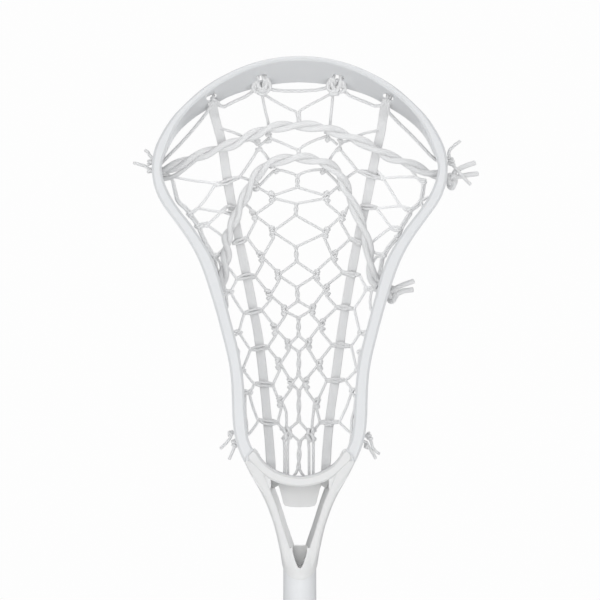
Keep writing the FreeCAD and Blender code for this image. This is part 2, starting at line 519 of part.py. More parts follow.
# cross-lacing between the runners: runs of cord, straight from point to point (x, y, z)
CROSSLACE_RUNS = [
    [(-18.8, 6.8, 1041.8), (-20.5, -0.1, 1056.5), (-22.2, -4.0, 1064.1)],
    [(-18.7, -3.4, 1063.3), (-6.0, -0.9, 1058.9), (-0.8, 0.0, 1057.2)],
    [(17.1, -4.2, 1064.8), (6.2, -2.2, 1061.5), (-0.8, 0.0, 1057.2)],
    [(16.6, 6.3, 1043.0), (18.9, -0.4, 1057.1), (19.9, -3.6, 1063.5)],
    [(-0.8, 0.0, 1057.2), (-0.8, 10.4, 1034.7), (-0.9, 13.2, 1028.7), (-1.4, 16.9, 1020.4)],
    [(-18.8, 6.8, 1041.8), (-9.0, 8.8, 1038.0), (-0.8, 10.4, 1034.7)],
    [(16.6, 6.3, 1043.0), (6.2, 8.2, 1039.5), (-0.8, 10.4, 1034.7)],
    [(-18.8, 6.8, 1041.8), (-25.2, 8.4, 1037.6)],
    [(16.6, 6.3, 1043.0), (23.9, 8.5, 1037.6)],
    [(-25.2, 8.4, 1037.6), (-39.5, 4.3, 1044.7), (-44.3, 3.4, 1045.8)],
    [(23.9, 8.5, 1037.6), (37.9, 4.7, 1044.1), (43.9, 3.5, 1045.5)],
    [(-25.2, 8.4, 1037.6), (-19.5, 12.4, 1029.3), (-15.2, 15.2, 1023.3)],
    [(23.9, 8.5, 1037.6), (19.1, 12.2, 1029.9), (14.2, 15.4, 1023.0)],
    [(-25.2, 8.4, 1037.6), (-31.1, 12.2, 1028.1), (-26.9, 19.1, 1012.5)],
    [(23.9, 8.5, 1037.6), (32.0, 12.7, 1026.9), (24.7, 18.9, 1013.4)],
    [(-15.2, 15.2, 1023.3), (-23.2, 18.4, 1014.9), (-26.9, 19.1, 1012.5)],
    [(14.2, 15.4, 1023.0), (19.8, 17.1, 1018.5), (24.7, 18.9, 1013.4)],
    [(-26.9, 19.1, 1012.5), (-17.1, 22.2, 1006.5)],
    [(24.7, 18.9, 1013.4), (16.1, 22.3, 1006.5)],
    [(-15.2, 15.2, 1023.3), (-1.4, 16.9, 1020.4)],
    [(14.2, 15.4, 1023.0), (-1.4, 16.9, 1020.4), (-1.4, 20.6, 1011.9)],
    [(-2.0, 24.3, 1002.2), (-2.5, 26.3, 994.9)],
    [(-2.4, 29.8, 976.1), (-2.0, 31.3, 966.2)],
    [(-1.7, 32.9, 951.4), (-1.1, 33.5, 941.8)],
    [(-0.8, 33.9, 932.1), (-0.8, 33.9, 920.3)],
    [(-0.5, 33.4, 911.0), (-0.7, 32.0, 895.9)],
    [(-0.5, 30.3, 887.0), (-0.6, 23.8, 867.8)],
    [(-0.1, 17.8, 856.4), (-0.7, 8.7, 839.5)],
    [(-1.4, 20.6, 1011.9), (-17.1, 22.2, 1006.5)],
    [(-1.4, 20.6, 1011.9), (16.1, 22.3, 1006.5)],
    [(-17.1, 22.2, 1006.5), (-2.0, 24.3, 1002.2)],
    [(16.1, 22.3, 1006.5), (-2.0, 24.3, 1002.2)],
    [(-2.5, 26.3, 994.9), (-17.0, 27.2, 985.6)],
    [(-2.5, 26.3, 994.9), (16.1, 27.5, 984.7)],
    [(-17.0, 27.2, 985.6), (-2.4, 29.8, 976.1)],
    [(16.1, 27.5, 984.7), (-2.4, 29.8, 976.1)],
    [(-2.0, 31.3, 966.2), (-13.3, 31.2, 958.5)],
    [(-2.0, 31.3, 966.2), (10.4, 31.6, 958.5)],
    [(-13.3, 31.2, 958.5), (-1.7, 32.9, 951.4)],
    [(10.4, 31.6, 958.5), (-1.7, 32.9, 951.4)],
    [(-1.1, 33.5, 941.8), (-9.6, 33.0, 936.4)],
    [(-1.1, 33.5, 941.8), (8.0, 33.2, 937.4)],
    [(-9.6, 33.0, 936.4), (-0.8, 33.9, 932.1)],
    [(8.0, 33.2, 937.4), (-0.8, 33.9, 932.1)],
    [(-0.8, 33.9, 920.3), (-7.2, 33.2, 915.1)],
    [(-0.8, 33.9, 920.3), (5.6, 33.5, 916.1)],
    [(-7.2, 33.2, 915.1), (-0.5, 33.4, 911.0)],
    [(5.6, 33.5, 916.1), (-0.5, 33.4, 911.0)],
    [(-0.7, 32.0, 895.9), (-5.6, 30.9, 891.3)],
    [(-0.7, 32.0, 895.9), (4.0, 31.1, 891.6)],
    [(-5.6, 30.9, 891.3), (-0.5, 30.3, 887.0)],
    [(4.0, 31.1, 891.6), (-0.5, 30.3, 887.0)],
    [(-0.6, 23.8, 867.8), (-8.1, 20.0, 860.9)],
    [(-0.6, 23.8, 867.8), (6.4, 19.7, 860.0)],
    [(-8.1, 20.0, 860.9), (-0.1, 17.8, 856.4)],
    [(6.4, 19.7, 860.0), (-0.1, 17.8, 856.4)],
    [(-41.8, 22.3, 978.1), (-32.0, 25.0, 981.9)],
    [(-37.8, 24.1, 956.3), (-27.2, 28.0, 958.5)],
    [(-33.5, 24.9, 935.2), (-22.8, 29.7, 937.1)],
    [(-29.5, 24.7, 912.8), (-19.2, 29.9, 913.9)],
    [(-26.8, 23.5, 890.9), (-16.1, 28.3, 890.4)],
    [(-24.5, 19.5, 869.2), (-12.9, 22.2, 867.2)],
    [(42.0, 22.2, 978.1), (30.4, 25.5, 980.7)],
    [(36.7, 24.6, 959.0), (26.0, 28.2, 960.9)],
    [(32.5, 25.6, 937.4), (22.4, 29.9, 939.3)],
    [(30.4, 24.5, 915.2), (19.1, 30.1, 915.5)],
    [(27.7, 23.5, 893.8), (16.0, 28.9, 893.3)],
    [(23.2, 19.5, 868.0), (11.8, 22.7, 867.8)],
    [(-17.1, 22.2, 1006.5), (-27.9, 24.0, 995.4), (-32.0, 25.0, 981.9)],
    [(16.1, 22.3, 1006.5), (26.0, 24.2, 995.8), (30.4, 25.5, 980.7)],
    [(-32.0, 25.0, 981.9), (-24.1, 27.9, 969.9), (-17.0, 27.2, 985.6)],
    [(30.4, 25.5, 980.7), (21.5, 28.5, 970.2), (16.1, 27.5, 984.7)],
    [(-17.0, 27.2, 985.6), (-24.1, 27.9, 969.9), (-27.2, 28.0, 958.5)],
    [(16.1, 27.5, 984.7), (21.5, 28.5, 970.2), (26.0, 28.2, 960.9)],
    [(-27.2, 28.0, 958.5), (-19.2, 30.7, 946.7), (-13.3, 31.2, 958.5)],
    [(26.0, 28.2, 960.9), (16.9, 31.2, 949.2), (10.4, 31.6, 958.5)],
    [(-13.3, 31.2, 958.5), (-19.2, 30.7, 946.7), (-22.8, 29.7, 937.1)],
    [(10.4, 31.6, 958.5), (16.9, 31.2, 949.2), (22.4, 29.9, 939.3)],
    [(-22.8, 29.7, 937.1), (-15.6, 31.8, 925.0), (-9.6, 33.0, 936.4)],
    [(22.4, 29.9, 939.3), (13.8, 32.3, 927.7), (8.0, 33.2, 937.4)],
    [(-9.6, 33.0, 936.4), (-15.6, 31.8, 925.0), (-19.2, 29.9, 913.9)],
    [(8.0, 33.2, 937.4), (13.8, 32.3, 927.7), (19.1, 30.1, 915.5)],
    [(-19.2, 29.9, 913.9), (-13.1, 31.0, 903.5), (-7.2, 33.2, 915.1)],
    [(19.1, 30.1, 915.5), (12.3, 31.2, 902.9), (5.6, 33.5, 916.1)],
    [(-7.2, 33.2, 915.1), (-13.1, 31.0, 903.5), (-16.1, 28.3, 890.4)],
    [(5.6, 33.5, 916.1), (12.3, 31.2, 902.9), (16.0, 28.9, 893.3)],
    [(-16.1, 28.3, 890.4), (-12.2, 27.0, 880.1), (-5.6, 30.9, 891.3)],
    [(16.0, 28.9, 893.3), (10.8, 27.2, 879.3), (4.0, 31.1, 891.6)],
    [(-5.6, 30.9, 891.3), (-12.2, 27.0, 880.1), (-12.9, 22.2, 867.2)],
    [(4.0, 31.1, 891.6), (10.8, 27.2, 879.3), (11.8, 22.7, 867.8)],
    [(-12.2, 27.0, 880.1), (-9.4, 26.5, 876.3), (-8.1, 20.0, 860.9)],
    [(10.8, 27.2, 879.3), (8.7, 26.4, 875.7), (6.4, 19.7, 860.0)],
    [(-12.9, 22.2, 867.2), (-8.1, 20.0, 860.9)],
    [(11.8, 22.7, 867.8), (6.4, 19.7, 860.0)],
    [(-9.8, 18.3, 858.2), (-9.7, 9.8, 842.2)],
    [(-7.3, 18.6, 858.2), (-7.3, 9.6, 841.6)],
    [(-8.1, 20.0, 860.9), (-9.8, 18.3, 858.2)],
    [(-8.1, 20.0, 860.9), (-7.3, 18.6, 858.2)],
    [(6.4, 19.7, 860.0), (5.7, 18.0, 857.0)],
    [(6.4, 19.7, 860.0), (8.3, 17.8, 857.0)],
    [(5.7, 18.0, 857.0), (5.6, 9.4, 841.0)],
    [(8.3, 17.8, 857.0), (8.1, 9.6, 841.6)],
    [(-0.7, 8.7, 839.5), (-3.0, 8.3, 838.6)],
    [(-0.7, 8.7, 839.5), (1.6, 8.1, 838.3)],
    [(-27.9, 24.0, 995.4), (-31.9, 22.6, 999.7)],
    [(26.0, 24.2, 995.8), (30.3, 22.8, 999.7)],
    [(-26.9, 19.1, 1012.5), (-27.9, 24.0, 995.4)],
    [(24.7, 18.9, 1013.4), (26.0, 24.2, 995.8)],
]
CROSSLACE_KNOTS = [
    (-18.8, 6.8, 1041.8), (-25.2, 8.4, 1037.6), (16.6, 6.3, 1043.0), (23.9, 8.5, 1037.6),
    (-15.2, 15.2, 1023.3), (14.2, 15.4, 1023.0), (-26.9, 19.1, 1012.5), (24.7, 18.9, 1013.4),
    (-17.1, 22.2, 1006.5), (-27.9, 24.0, 995.4), (-17.0, 27.2, 985.6), (-24.1, 27.9, 969.9),
    (-13.3, 31.2, 958.5), (-19.2, 30.7, 946.7), (-9.6, 33.0, 936.4), (-15.6, 31.8, 925.0),
    (-7.2, 33.2, 915.1), (-13.1, 31.0, 903.5), (-5.6, 30.9, 891.3), (-12.2, 27.0, 880.1),
    (-8.1, 20.0, 860.9), (16.1, 22.3, 1006.5), (26.0, 24.2, 995.8), (16.1, 27.5, 984.7),
    (21.5, 28.5, 970.2), (10.4, 31.6, 958.5), (16.9, 31.2, 949.2), (8.0, 33.2, 937.4),
    (13.8, 32.3, 927.7), (5.6, 33.5, 916.1), (12.3, 31.2, 902.9), (4.0, 31.1, 891.6),
    (10.8, 27.2, 879.3), (6.4, 19.7, 860.0),
]
# strings along each sidewall, with their branches to the runner
SIDEWALL_LEFT_RUNS = [
    [(-80.7, 7.4, 1021.1), (-78.0, 8.9, 1017.5), (-76.3, 10.6, 1010.3), (-74.5, 11.7, 1003.9),
     (-67.0, 14.0, 995.7), (-62.9, 14.9, 989.0), (-56.6, 16.4, 978.2), (-50.5, 18.4, 970.6),
     (-48.8, 19.0, 964.5)],
    [(-67.0, 14.0, 995.7), (-60.6, 16.2, 999.0), (-49.4, 19.4, 997.4), (-44.8, 20.5, 997.8)],
    [(-67.0, 14.0, 995.7), (-57.0, 16.4, 1005.6), (-52.0, 15.2, 1013.8), (-73.2, 9.8, 1018.2)],
    [(-62.9, 14.9, 989.0), (-56.8, 17.3, 989.7), (-48.8, 19.9, 983.6)],
    [(-56.8, 17.3, 989.7), (-49.4, 19.4, 997.4)],
]
SIDEWALL_RIGHT_RUNS = [
    [(75.9, 9.8, 1015.7), (74.8, 11.2, 1009.1), (73.9, 11.9, 1003.6), (67.8, 13.9, 998.1),
     (59.9, 15.8, 986.0), (57.8, 16.2, 981.7), (50.2, 18.6, 971.6), (46.3, 20.2, 962.1)],
    [(75.9, 9.8, 1015.7), (52.2, 13.9, 1017.8), (59.6, 15.9, 1004.4), (67.8, 13.9, 998.1),
     (49.3, 19.3, 999.0), (45.6, 20.0, 999.9)],
    [(49.3, 19.3, 999.0), (56.0, 17.5, 987.8), (59.9, 15.8, 986.0)],
    [(56.0, 17.5, 987.8), (45.7, 20.9, 979.9)],
    [(50.2, 18.6, 971.6), (46.3, 20.5, 972.5)],
]
# zigzag lacing between each runner and its sidewall, lower pocket
SIDE_LACING_LEFT = [
    (-42.7, 21.9, 961.5), (-40.1, 23.1, 956.0), (-42.7, 21.2, 948.2), (-35.8, 23.7, 934.7),
    (-36.7, 21.7, 923.6), (-31.7, 23.3, 912.3), (-33.0, 21.0, 901.0), (-29.1, 22.2, 891.1),
    (-30.3, 20.6, 886.4), (-26.8, 18.5, 869.2), (-29.3, 15.1, 862.7),
]
SIDE_LACING_RIGHT = [
    (39.2, 23.5, 957.5), (40.8, 22.4, 950.1), (35.0, 24.3, 937.5), (36.2, 22.0, 923.3),
    (32.9, 22.8, 914.8), (33.4, 20.7, 900.8), (30.2, 22.0, 893.7), (30.9, 20.5, 887.6),
    (25.7, 18.7, 868.3), (28.9, 15.4, 863.3),
]
# tied-off ends outside the sidewalls: name, loose tails, knot centres, cord radius, knot radius
TIES = [
    ("string_tie_upper_left",
     [[(-92.0, 4.0, 1025.8), (-92.0, 3.0, 1029.4), (-93.7, 2.0, 1032.7), (-95.5, 1.0, 1034.1)],
      [(-92.0, 4.0, 1025.8), (-92.6, 3.2, 1021.5), (-95.0, 2.5, 1023.9), (-98.6, 1.8, 1025.4),
       (-102.2, 1.0, 1026.2)]],
     [(-92.0, 4.0, 1025.8), (-92.6, 4.0, 1021.5)], 1.0, 1.7),
    ("string_tie_upper_right",
     [[(92.2, 1.6, 1026.9), (91.2, 0.6, 1031.7), (94.2, -0.4, 1037.4), (97.2, -1.4, 1039.5)],
      [(92.2, 1.6, 1026.9), (96.1, 0.6, 1021.4), (99.7, -0.4, 1017.1), (103.2, -1.4, 1013.4)]],
     [(92.2, 1.6, 1026.9)], 1.0, 1.9),
    ("shooting_tie_upper_right",
     [[(93.4, 6.5, 1015.6), (98.2, 5.0, 1023.4), (106.0, 3.5, 1026.7)],
      [(93.4, 6.5, 1015.6), (100.0, 5.0, 1019.1), (107.8, 3.5, 1020.0)]],
     [(93.4, 6.5, 1015.6), (93.7, 6.5, 1018.0)], 1.6, 3.0),
    ("shooting_tie_lower_right",
     [[(59.6, 17.0, 945.8), (62.0, 15.5, 951.0), (70.7, 14.0, 954.0)],
      [(59.6, 17.0, 945.8), (63.9, 15.5, 947.9), (70.1, 14.0, 949.1)]],
     [(59.3, 17.0, 945.5), (59.6, 17.0, 947.9)], 1.6, 3.3),
    ("string_tie_lower_left",
     [[(-42.5, 13.0, 861.5), (-44.0, 11.5, 857.4), (-49.0, 10.0, 852.5)],
      [(-42.5, 13.0, 861.5), (-41.2, 11.5, 853.7), (-43.6, 10.0, 845.8)]],
     [(-42.5, 13.0, 861.5), (-41.0, 13.0, 854.8)], 1.0, 1.8),
    ("string_tie_lower_right",
     [[(42.7, 13.0, 859.7), (43.6, 12.0, 854.9), (45.4, 11.0, 851.0), (48.3, 10.0, 848.9)],
      [(42.7, 13.0, 859.7), (41.4, 12.0, 853.6), (43.9, 11.0, 850.6), (46.0, 10.0, 846.4)]],
     [(42.7, 13.0, 859.7)], 1.0, 1.9),
]


def band(path):
    """Flat band with its width across the stick and its thickness front to back."""
    points = [V(*p) for p in path]
    sections = []
    for i, centre in enumerate(points):
        along = (points[min(i + 1, len(points) - 1)] - points[max(i - 1, 0)]).normalize()
        side = along.cross(Y_AXIS).normalize() * (RUNNER_WIDTH / 2)
        up = side.cross(along).normalize() * (RUNNER_THICK / 2)
        sections.append(polygon([centre + side + up, centre - side + up,
                                 centre - side - up, centre + side - up]))
    return loft(sections)


def rope(points, radius):
    """Round cord along a smooth line."""
    curve = Part.BSplineCurve()
    curve.interpolate([V(*p) for p in points])
    path = Part.Wire([curve.toShape()])
    tangent = curve.tangent(curve.FirstParameter)[0]
    ring = Part.Wire([Part.makeCircle(radius, V(*points[0]), tangent)])
    return path.makePipeShell([ring], True, True)


def cord(start, end, radius, turn):
    """Straight eight-sided length of cord, turned about its axis."""
    axis = end - start
    side = axis.cross(V(0.31, 0.83, 0.47)).normalize()
    up = axis.cross(side).normalize()
    reach = radius * CORD_SWELL
    angles = [turn + i * math.pi / 4 for i in range(8)]
    outline = [start + side * (reach * math.cos(a)) + up * (reach * math.sin(a)) for a in angles]
    return Part.Face(polygon(outline)).extrude(axis)


def bead(centre, radius, turn):
    """Icosahedron for the lump of a knot or the bend of a cord."""
    golden = (1 + 5 ** 0.5) / 2
    corners = []
    for s in (1, -1):
        for u in (golden, -golden):
            corners += [V(0, s, u), V(s, u, 0), V(u, 0, s)]
    spin = FreeCAD.Rotation(V(0.4, 0.7, 0.59), math.degrees(turn))
    scale = radius * BEAD_SWELL / corners[0].Length
    # just over the edge length, so only neighbouring corners make a face
    near = corners[0].Length * 1.06 + 0.001
    faces = []
    for i in range(12):
        for j in range(i + 1, 12):
            for k in range(j + 1, 12):
                a, b, c = corners[i], corners[j], corners[k]
                if max((a - b).Length, (b - c).Length, (a - c).Length) < near:
                    face = [centre + spin.multVec(p * scale) for p in (a, b, c)]
                    faces.append(Part.Face(polygon(face)))
    solid = Part.Solid(Part.Shell(faces))
    return solid if solid.Volume > 0 else solid.reversed()


def net(runs, radius, knots=(), knot_radius=0.0):
    """Straight cords with a bead at every bend and end, and a knot bead at every knot."""
    # each piece is turned differently, so that facets of joined pieces don't coincide
    pieces = []
    for run in runs:
        for start, end in zip(run, run[1:]):
            pieces.append(cord(V(*start), V(*end), radius, 0.37 + 0.61 * len(pieces)))
    bends = [p for p in dict.fromkeys(p for run in runs for p in run) if p not in knots]
    beads = [(p, radius * BEND_SWELL) for p in bends] + [(p, knot_radius) for p in knots]
    for centre, bead_radius in beads:
        pieces.append(bead(V(*centre), bead_radius, 0.2 + 0.53 * len(pieces)))
    return pieces[0].multiFuse(pieces[1:])


# ---------------------------------------------------------------- build
save("head_frame", head_frame())
throat = throat_yoke()
save("throat_yoke", throat)
save("ball_stop_pad", ball_stop_pad(throat))
save("handle", handle())
save("head_screw", head_screw())
save("end_cap", end_cap())

save("runner_left", band(RUNNER_LEFT_PATH))
save("runner_right", band(RUNNER_RIGHT_PATH))
save("top_string", rope(TOP_STRING_PATH, TOP_CORD_R))
save("shooting_string_upper", rope(SHOOTING_UPPER_PATH, SHOOTER_R))
save("shooting_string_lower", rope(SHOOTING_LOWER_PATH, SHOOTER_R))
save("crosslace_centre", net(CROSSLACE_RUNS, CORD_R, CROSSLACE_KNOTS, KNOT_R))
save("sidewall_string_left", net(SIDEWALL_LEFT_RUNS, CORD_R))
save("sidewall_string_right", net(SIDEWALL_RIGHT_RUNS, CORD_R))
save("side_lacing_left", net([SIDE_LACING_LEFT], CORD_R))
save("side_lacing_right", net([SIDE_LACING_RIGHT], CORD_R))
for name, tails, knots, cord_radius, knot_radius in TIES:
    save(name, net(tails, cord_radius, knots, knot_radius))
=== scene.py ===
"""Women's-pattern lacrosse stick, dressed over its CAD parts.

The rigid parts (head, throat, handle, cap, screw, pad) keep their CAD shapes and get procedural
finishes. Every string is built here as real cord: tubes along the lacing, knots of wound turns,
ropes of two twisted cords and woven runner bands.

Frame: +Z runs up the handle to the head, the open face looks towards -Y, and +X is to the right
when the open face is looked at. String tables are in millimetres; the scene is in metres.
"""

import math

import bpy
import numpy as np
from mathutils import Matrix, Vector


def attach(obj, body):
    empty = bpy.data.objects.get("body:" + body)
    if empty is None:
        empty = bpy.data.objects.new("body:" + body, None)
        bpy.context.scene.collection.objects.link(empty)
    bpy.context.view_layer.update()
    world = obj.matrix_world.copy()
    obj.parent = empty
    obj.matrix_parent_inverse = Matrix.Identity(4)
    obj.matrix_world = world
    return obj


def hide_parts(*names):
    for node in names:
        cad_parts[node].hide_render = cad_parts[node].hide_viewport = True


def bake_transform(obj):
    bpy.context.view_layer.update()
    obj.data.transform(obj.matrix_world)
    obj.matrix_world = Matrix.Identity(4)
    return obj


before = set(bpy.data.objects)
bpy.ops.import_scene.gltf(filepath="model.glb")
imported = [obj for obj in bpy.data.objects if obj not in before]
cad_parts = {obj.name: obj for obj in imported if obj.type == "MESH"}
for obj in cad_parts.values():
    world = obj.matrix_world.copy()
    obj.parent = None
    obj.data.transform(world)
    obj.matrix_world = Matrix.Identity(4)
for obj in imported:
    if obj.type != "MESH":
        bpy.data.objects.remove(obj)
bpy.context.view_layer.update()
rng = np.random.default_rng(7)

# ---------------------------------------------------------------- sizes, millimetres
MM = 0.001
CORD_RADIUS = 0.87            # cross-lacing
WRAP_RADIUS = CORD_RADIUS * 0.97
LOBE_RADIUS = 0.98            # fat lobes of the cross-lacing knots
BOTTOM_KNOT_RADIUS = 1.12
SIDE_RADIUS = 0.84
SIDE_KNOT_RADIUS = SIDE_RADIUS * 0.96
TOP_RADIUS = 1.02             # string through the scoop's slots
SCOOP_LUMP_RADIUS = 1.15
STRAND_RADIUS = 1.84          # one cord of a shooting string
FORK_RADIUS = 1.4
TAIL_RADIUS = 1.0
LOWER_TAIL_RADIUS = TAIL_RADIUS * 0.95
LIP_RADIUS = 1.08
RUNNER_WIDTH = 5.6
RUNNER_THICK = 1.7
CORD_STEP = 0.6               # spacing of the rings along a cord
ROPE_STEP = 0.8
BAND_STEP = 1.2
LIP_STEP = 0.7
COIL_POINTS = 22              # points in one turn of a coil
SIDE_SPLIT = 971.0            # sidewall string above this height, side lacing below it
SIDE_KNOT_SPLIT = SIDE_SPLIT - 8


# ---------------------------------------------------------------- measured lacing
def runs(text):
    """Arrays of points from text: x y z, a comma between points, a semicolon between runs."""
    return [np.array([point.split() for point in part.split(",")], float)
            for part in text.split(";")]


def run(text):
    return runs(text)[0]


# knots of the cross-lacing: middle of the upper turn, middle of the lower turn.
# L and R are the pocket rows counted from the top, N the knots of the upper pocket.
KNOTS = {}
for entry in """
L1: -17.12 21.43 1008.58, -17.13 22.9 1004.64
L2: -28.86 23.55 997.26, -27.64 24.41 993.59
L3: -17.3 26.87 987.49, -16.57 27.66 983.19
L4: -24.73 27.58 972.06, -23.38 28.31 967.74
L5: -13.82 30.95 960.66, -13.2 31.47 956.33
L6: -19.7 30.57 948.57, -18.77 30.9 944.24
L7: -9.8 32.91 938.66, -9.49 33.1 934.31
L8: -15.99 31.76 927.5, -15.37 31.79 922.54
L9: -7.63 33.26 917.56, -7.01 33.09 913.22
L10: -13.51 31.13 906.01, -12.89 30.83 901.06
L11: -5.76 31.28 893.61, -5.76 30.41 889.12
L12: -12.67 27.52 882.42, -11.92 26.43 877.7
R1: 16.44 21.47 1008.58, 16.46 22.99 1004.52
R2: 27.08 23.93 996.66, 25.61 24.82 992.99
R3: 16.69 27.05 986.88, 15.89 27.84 982.57
R4: 21.77 28.18 972.5, 21.16 28.74 968.37
R5: 10.35 31.42 960.66, 10.66 31.82 956.33
R6: 16.67 31.16 951.68, 16.67 31.33 947.03
R7: 8 33.13 939.28, 7.88 33.3 935.12
R8: 14.2 32.24 930.16, 13.46 32.38 925.2
R9: 5.52 33.56 918.18, 5.71 33.3 913.84
R10: 12.21 31.4 905.19, 12.52 30.9 900.68
R11: 4.03 31.54 894.03, 3.84 30.6 889.11
R12: 10.76 27.74 881.48, 10.63 26.56 877.2
N1L: -18.5 8.44 1043.74, -19.44 10.02 1040.18
N2L: -25.36 9.83 1039.99, -25.09 11.9 1035.41
N3L: -26.16 21.04 1013.92, -26.98 22 1011.38
N3TL: -16.46 17 1024.97, -14.44 18.24 1022.27
N1R: 16.3 7.97 1044.93, 17.23 9.56 1041.38
N2R: 24.26 9.8 1040.17, 23.87 11.88 1035.59
N3R: 24.56 20.59 1015.31, 24.95 21.87 1012.17
N3TR: 14.37 17.08 1024.97, 14.38 18.37 1021.97
""".strip().splitlines():
    knot_name, knot_ends = entry.split(":")
    KNOTS[knot_name] = run(knot_ends)

# where the left and right centre cords are twisted round each other: top, bottom
TWISTS = runs("""
-1.41 16.97 1020.06, -1.42 20.42 1012.23;
-2.04 24.24 1002.53, -2.59 26.19 995.19;
-2.35 29.81 976.12, -1.98 31.22 966.55;
-1.74 32.91 951.06, -1.12 33.45 942.07;
-0.81 33.88 932.14, -0.81 33.93 920.65;
-0.5 33.43 911.04, -0.74 32.04 896.19;
-0.5 30.27 886.95, -0.62 23.91 868.06;
-0.06 17.81 856.38, -0.73 9.01 840.08
""")

# turns round each runner: side end, pocket end, upper strand (2 points), lower strand (2 points)
RUNNER_WRAPS = {"L": runs("""
-41.5 23.43 978.02, -32.23 25.58 981.71,
-38.44 23.03 979.63, -35.07 23.95 980.91, -37.75 23.31 977.76, -34.38 24.24 979.05;
-39 24.58 956.2, -27.22 28.66 957.85,
-35.23 24.82 958.3, -31.25 26.31 959.06, -34.88 25.01 956.34, -30.89 26.52 957.09;
-34.57 25.35 934.97, -23.1 30.21 936.93,
-31.17 25.87 936.49, -26.57 27.96 937.72, -30.65 25.99 934.56, -26.06 28.11 935.79;
-30.55 25.07 912.57, -19.51 30.39 913.89,
-27.12 25.87 913.96, -22.68 28.2 914.97, -26.67 25.92 912.01, -22.22 28.22 913.02;
-28.12 23.83 891.38, -16.58 28.72 890.41,
-24.28 24.77 892.19, -19.47 26.96 891.97, -24.34 24.37 890.21, -19.52 26.56 889.98;
-25.59 20.06 869.36, -13.44 22.78 867.44,
-21.76 20.05 868.87, -17 21.31 868.26, -21.97 19.23 866.93, -17.22 20.43 866.32
"""), "R": runs("""
42.66 23.03 977.83, 30.69 25.99 981.17,
35.11 23.99 979.79, 38.48 23.05 978.72, 34.53 24.27 977.89, 37.9 23.3 976.82;
37.35 25.29 958.43, 26.11 28.85 960.32,
30.8 26.42 960.28, 34.33 25.16 959.34, 30.3 26.67 958.34, 33.83 25.41 957.4;
33.29 26.25 937.75, 22.42 30.46 938.66,
25.94 28.26 939.79, 30.08 26.52 939.17, 25.65 28.33 937.8, 29.79 26.56 937.19;
31.41 24.78 914.61, 19.63 30.47 915.31,
23.13 28.16 916.57, 27.88 25.71 916.02, 22.88 28.07 914.58, 27.63 25.6 914.04;
27.89 24.4 893.83, 16.52 29.28 893.3,
20.21 27.07 894.37, 24.66 24.96 894.44, 20.21 26.73 892.38, 24.65 24.62 892.45;
24.3 20.19 868.18, 12.33 23.17 867.79,
15.71 21.65 868.25, 20.16 20.31 868.13, 15.62 20.83 866.29, 20.07 19.55 866.17
""")}

# centre lines of the two runner bands
RUNNER_LEFT = run("""
-52.66 -13.5 1062.46, -52.56 -11 1060.85, -52.24 -6.5 1057.87, -51.41 1.15 1053.59,
-49.53 5 1046.56, -47.79 7.96 1040.05, -46.5 11.64 1031.72, -45.27 15.47 1022.74,
-43.96 18.96 1013.7, -42.38 22.09 1004.6, -40.59 24.01 996.05, -37.31 26.13 979.44,
-33.58 28.13 961.55, -30.82 29.3 947.95, -28.36 29.85 935.14, -25.7 30.11 920.71,
-22.59 28.94 895.66, -20.3 24.47 872.17, -18.8 18.28 856.97, -17.83 8.8 845.9,
-17.47 9 840.39, -17.1 8.8 835.21
""")
RUNNER_RIGHT = run("""
52.6 -13.5 1063.66, 52.08 -11 1061.75, 51.27 -6.5 1058.48, 50.45 1.5 1053.01,
49.59 4.99 1046.56, 48.39 7.66 1040.64, 46.44 11.64 1031.72, 44.66 15.54 1022.74,
42.98 19.1 1013.71, 41.28 22.29 1004.61, 39.18 24.39 995.44, 35.65 26.61 979.45,
32.29 28.59 961.56, 29.84 29.69 947.95, 27.68 30.15 935.14, 25.51 30.2 920.71,
22.16 29.15 895.66, 18.76 24.99 872.15, 17.09 18.67 856.95, 16.12 8.8 844.67,
15.76 9 839.77, 15.39 8.8 834.9
""")

# shooting strings: centre line of the twisted pair, and where its two cords cross
# (as a count of points along the line)
SHOOTING_UPPER = run("""
-84.89 5.44 1021.3, -79.06 4.79 1023.22, -72.94 4.15 1025.93, -66.83 3.52 1028.81,
-60.74 3.58 1031.07, -54.65 3.53 1033.26, -48.56 3.31 1035.5, -42.47 3.15 1037.31,
-36.38 2.7 1039.53, -30.27 1.73 1042.69, -24.18 0.99 1045.08, -18.1 0.26 1047.21,
-12.02 -0.06 1048.28, -5.95 -0.12 1048.64, 0.12 -0.09 1048.65, 6.19 -0.07 1048.53,
12.27 0.13 1047.87, 18.35 0.63 1046.39, 24.43 1.3 1044.37, 30.52 1.98 1042.1,
36.62 2.66 1039.59, 42.72 3.38 1036.72, 48.83 4.24 1033.24, 54.94 4.71 1030.28,
61.03 4.77 1027.97, 67.12 4.7 1025.65, 73.23 5.09 1022.81, 78.13 5.68 1020.4,
84.25 6.03 1019.2
""")
UPPER_CROSSINGS = [3.02, 5.79, 8.35, 10.7, 13.5, 16.5, 18.99, 21.79, 24.21, 27.21]
SHOOTING_LOWER = run("""
-47.76 16.77 948.53, -47.38 16.47 952.82, -46.76 16.18 958.65, -45.67 16.45 964.67,
-45.06 16.78 970.63, -44.95 17.06 976.16, -44.58 17.26 981.07, -42.88 17.71 986.61,
-39.69 18.02 993.38, -36.86 17.65 999.82, -33.26 16.17 1007.44, -29.72 14.05 1014.09,
-25.27 11.7 1020.71, -19.43 9.89 1025.81, -12.09 9.03 1028.39, -2.93 8.61 1029.71,
5.01 8.78 1029.29, 12.34 9.37 1027.62, 19.07 10.38 1024.74, 24.48 12.07 1019.93,
27.71 14.48 1013.49, 30.51 16.72 1006.84, 33.49 18.16 1000.15, 37.31 18.72 991.87,
39.65 18.69 985.41, 41.3 18.38 979.26, 42.39 17.97 973.1, 43.12 17.62 966.34,
44.04 17.65 960.2, 45.58 17.87 955.29, 48.02 17.14 952.21
""")
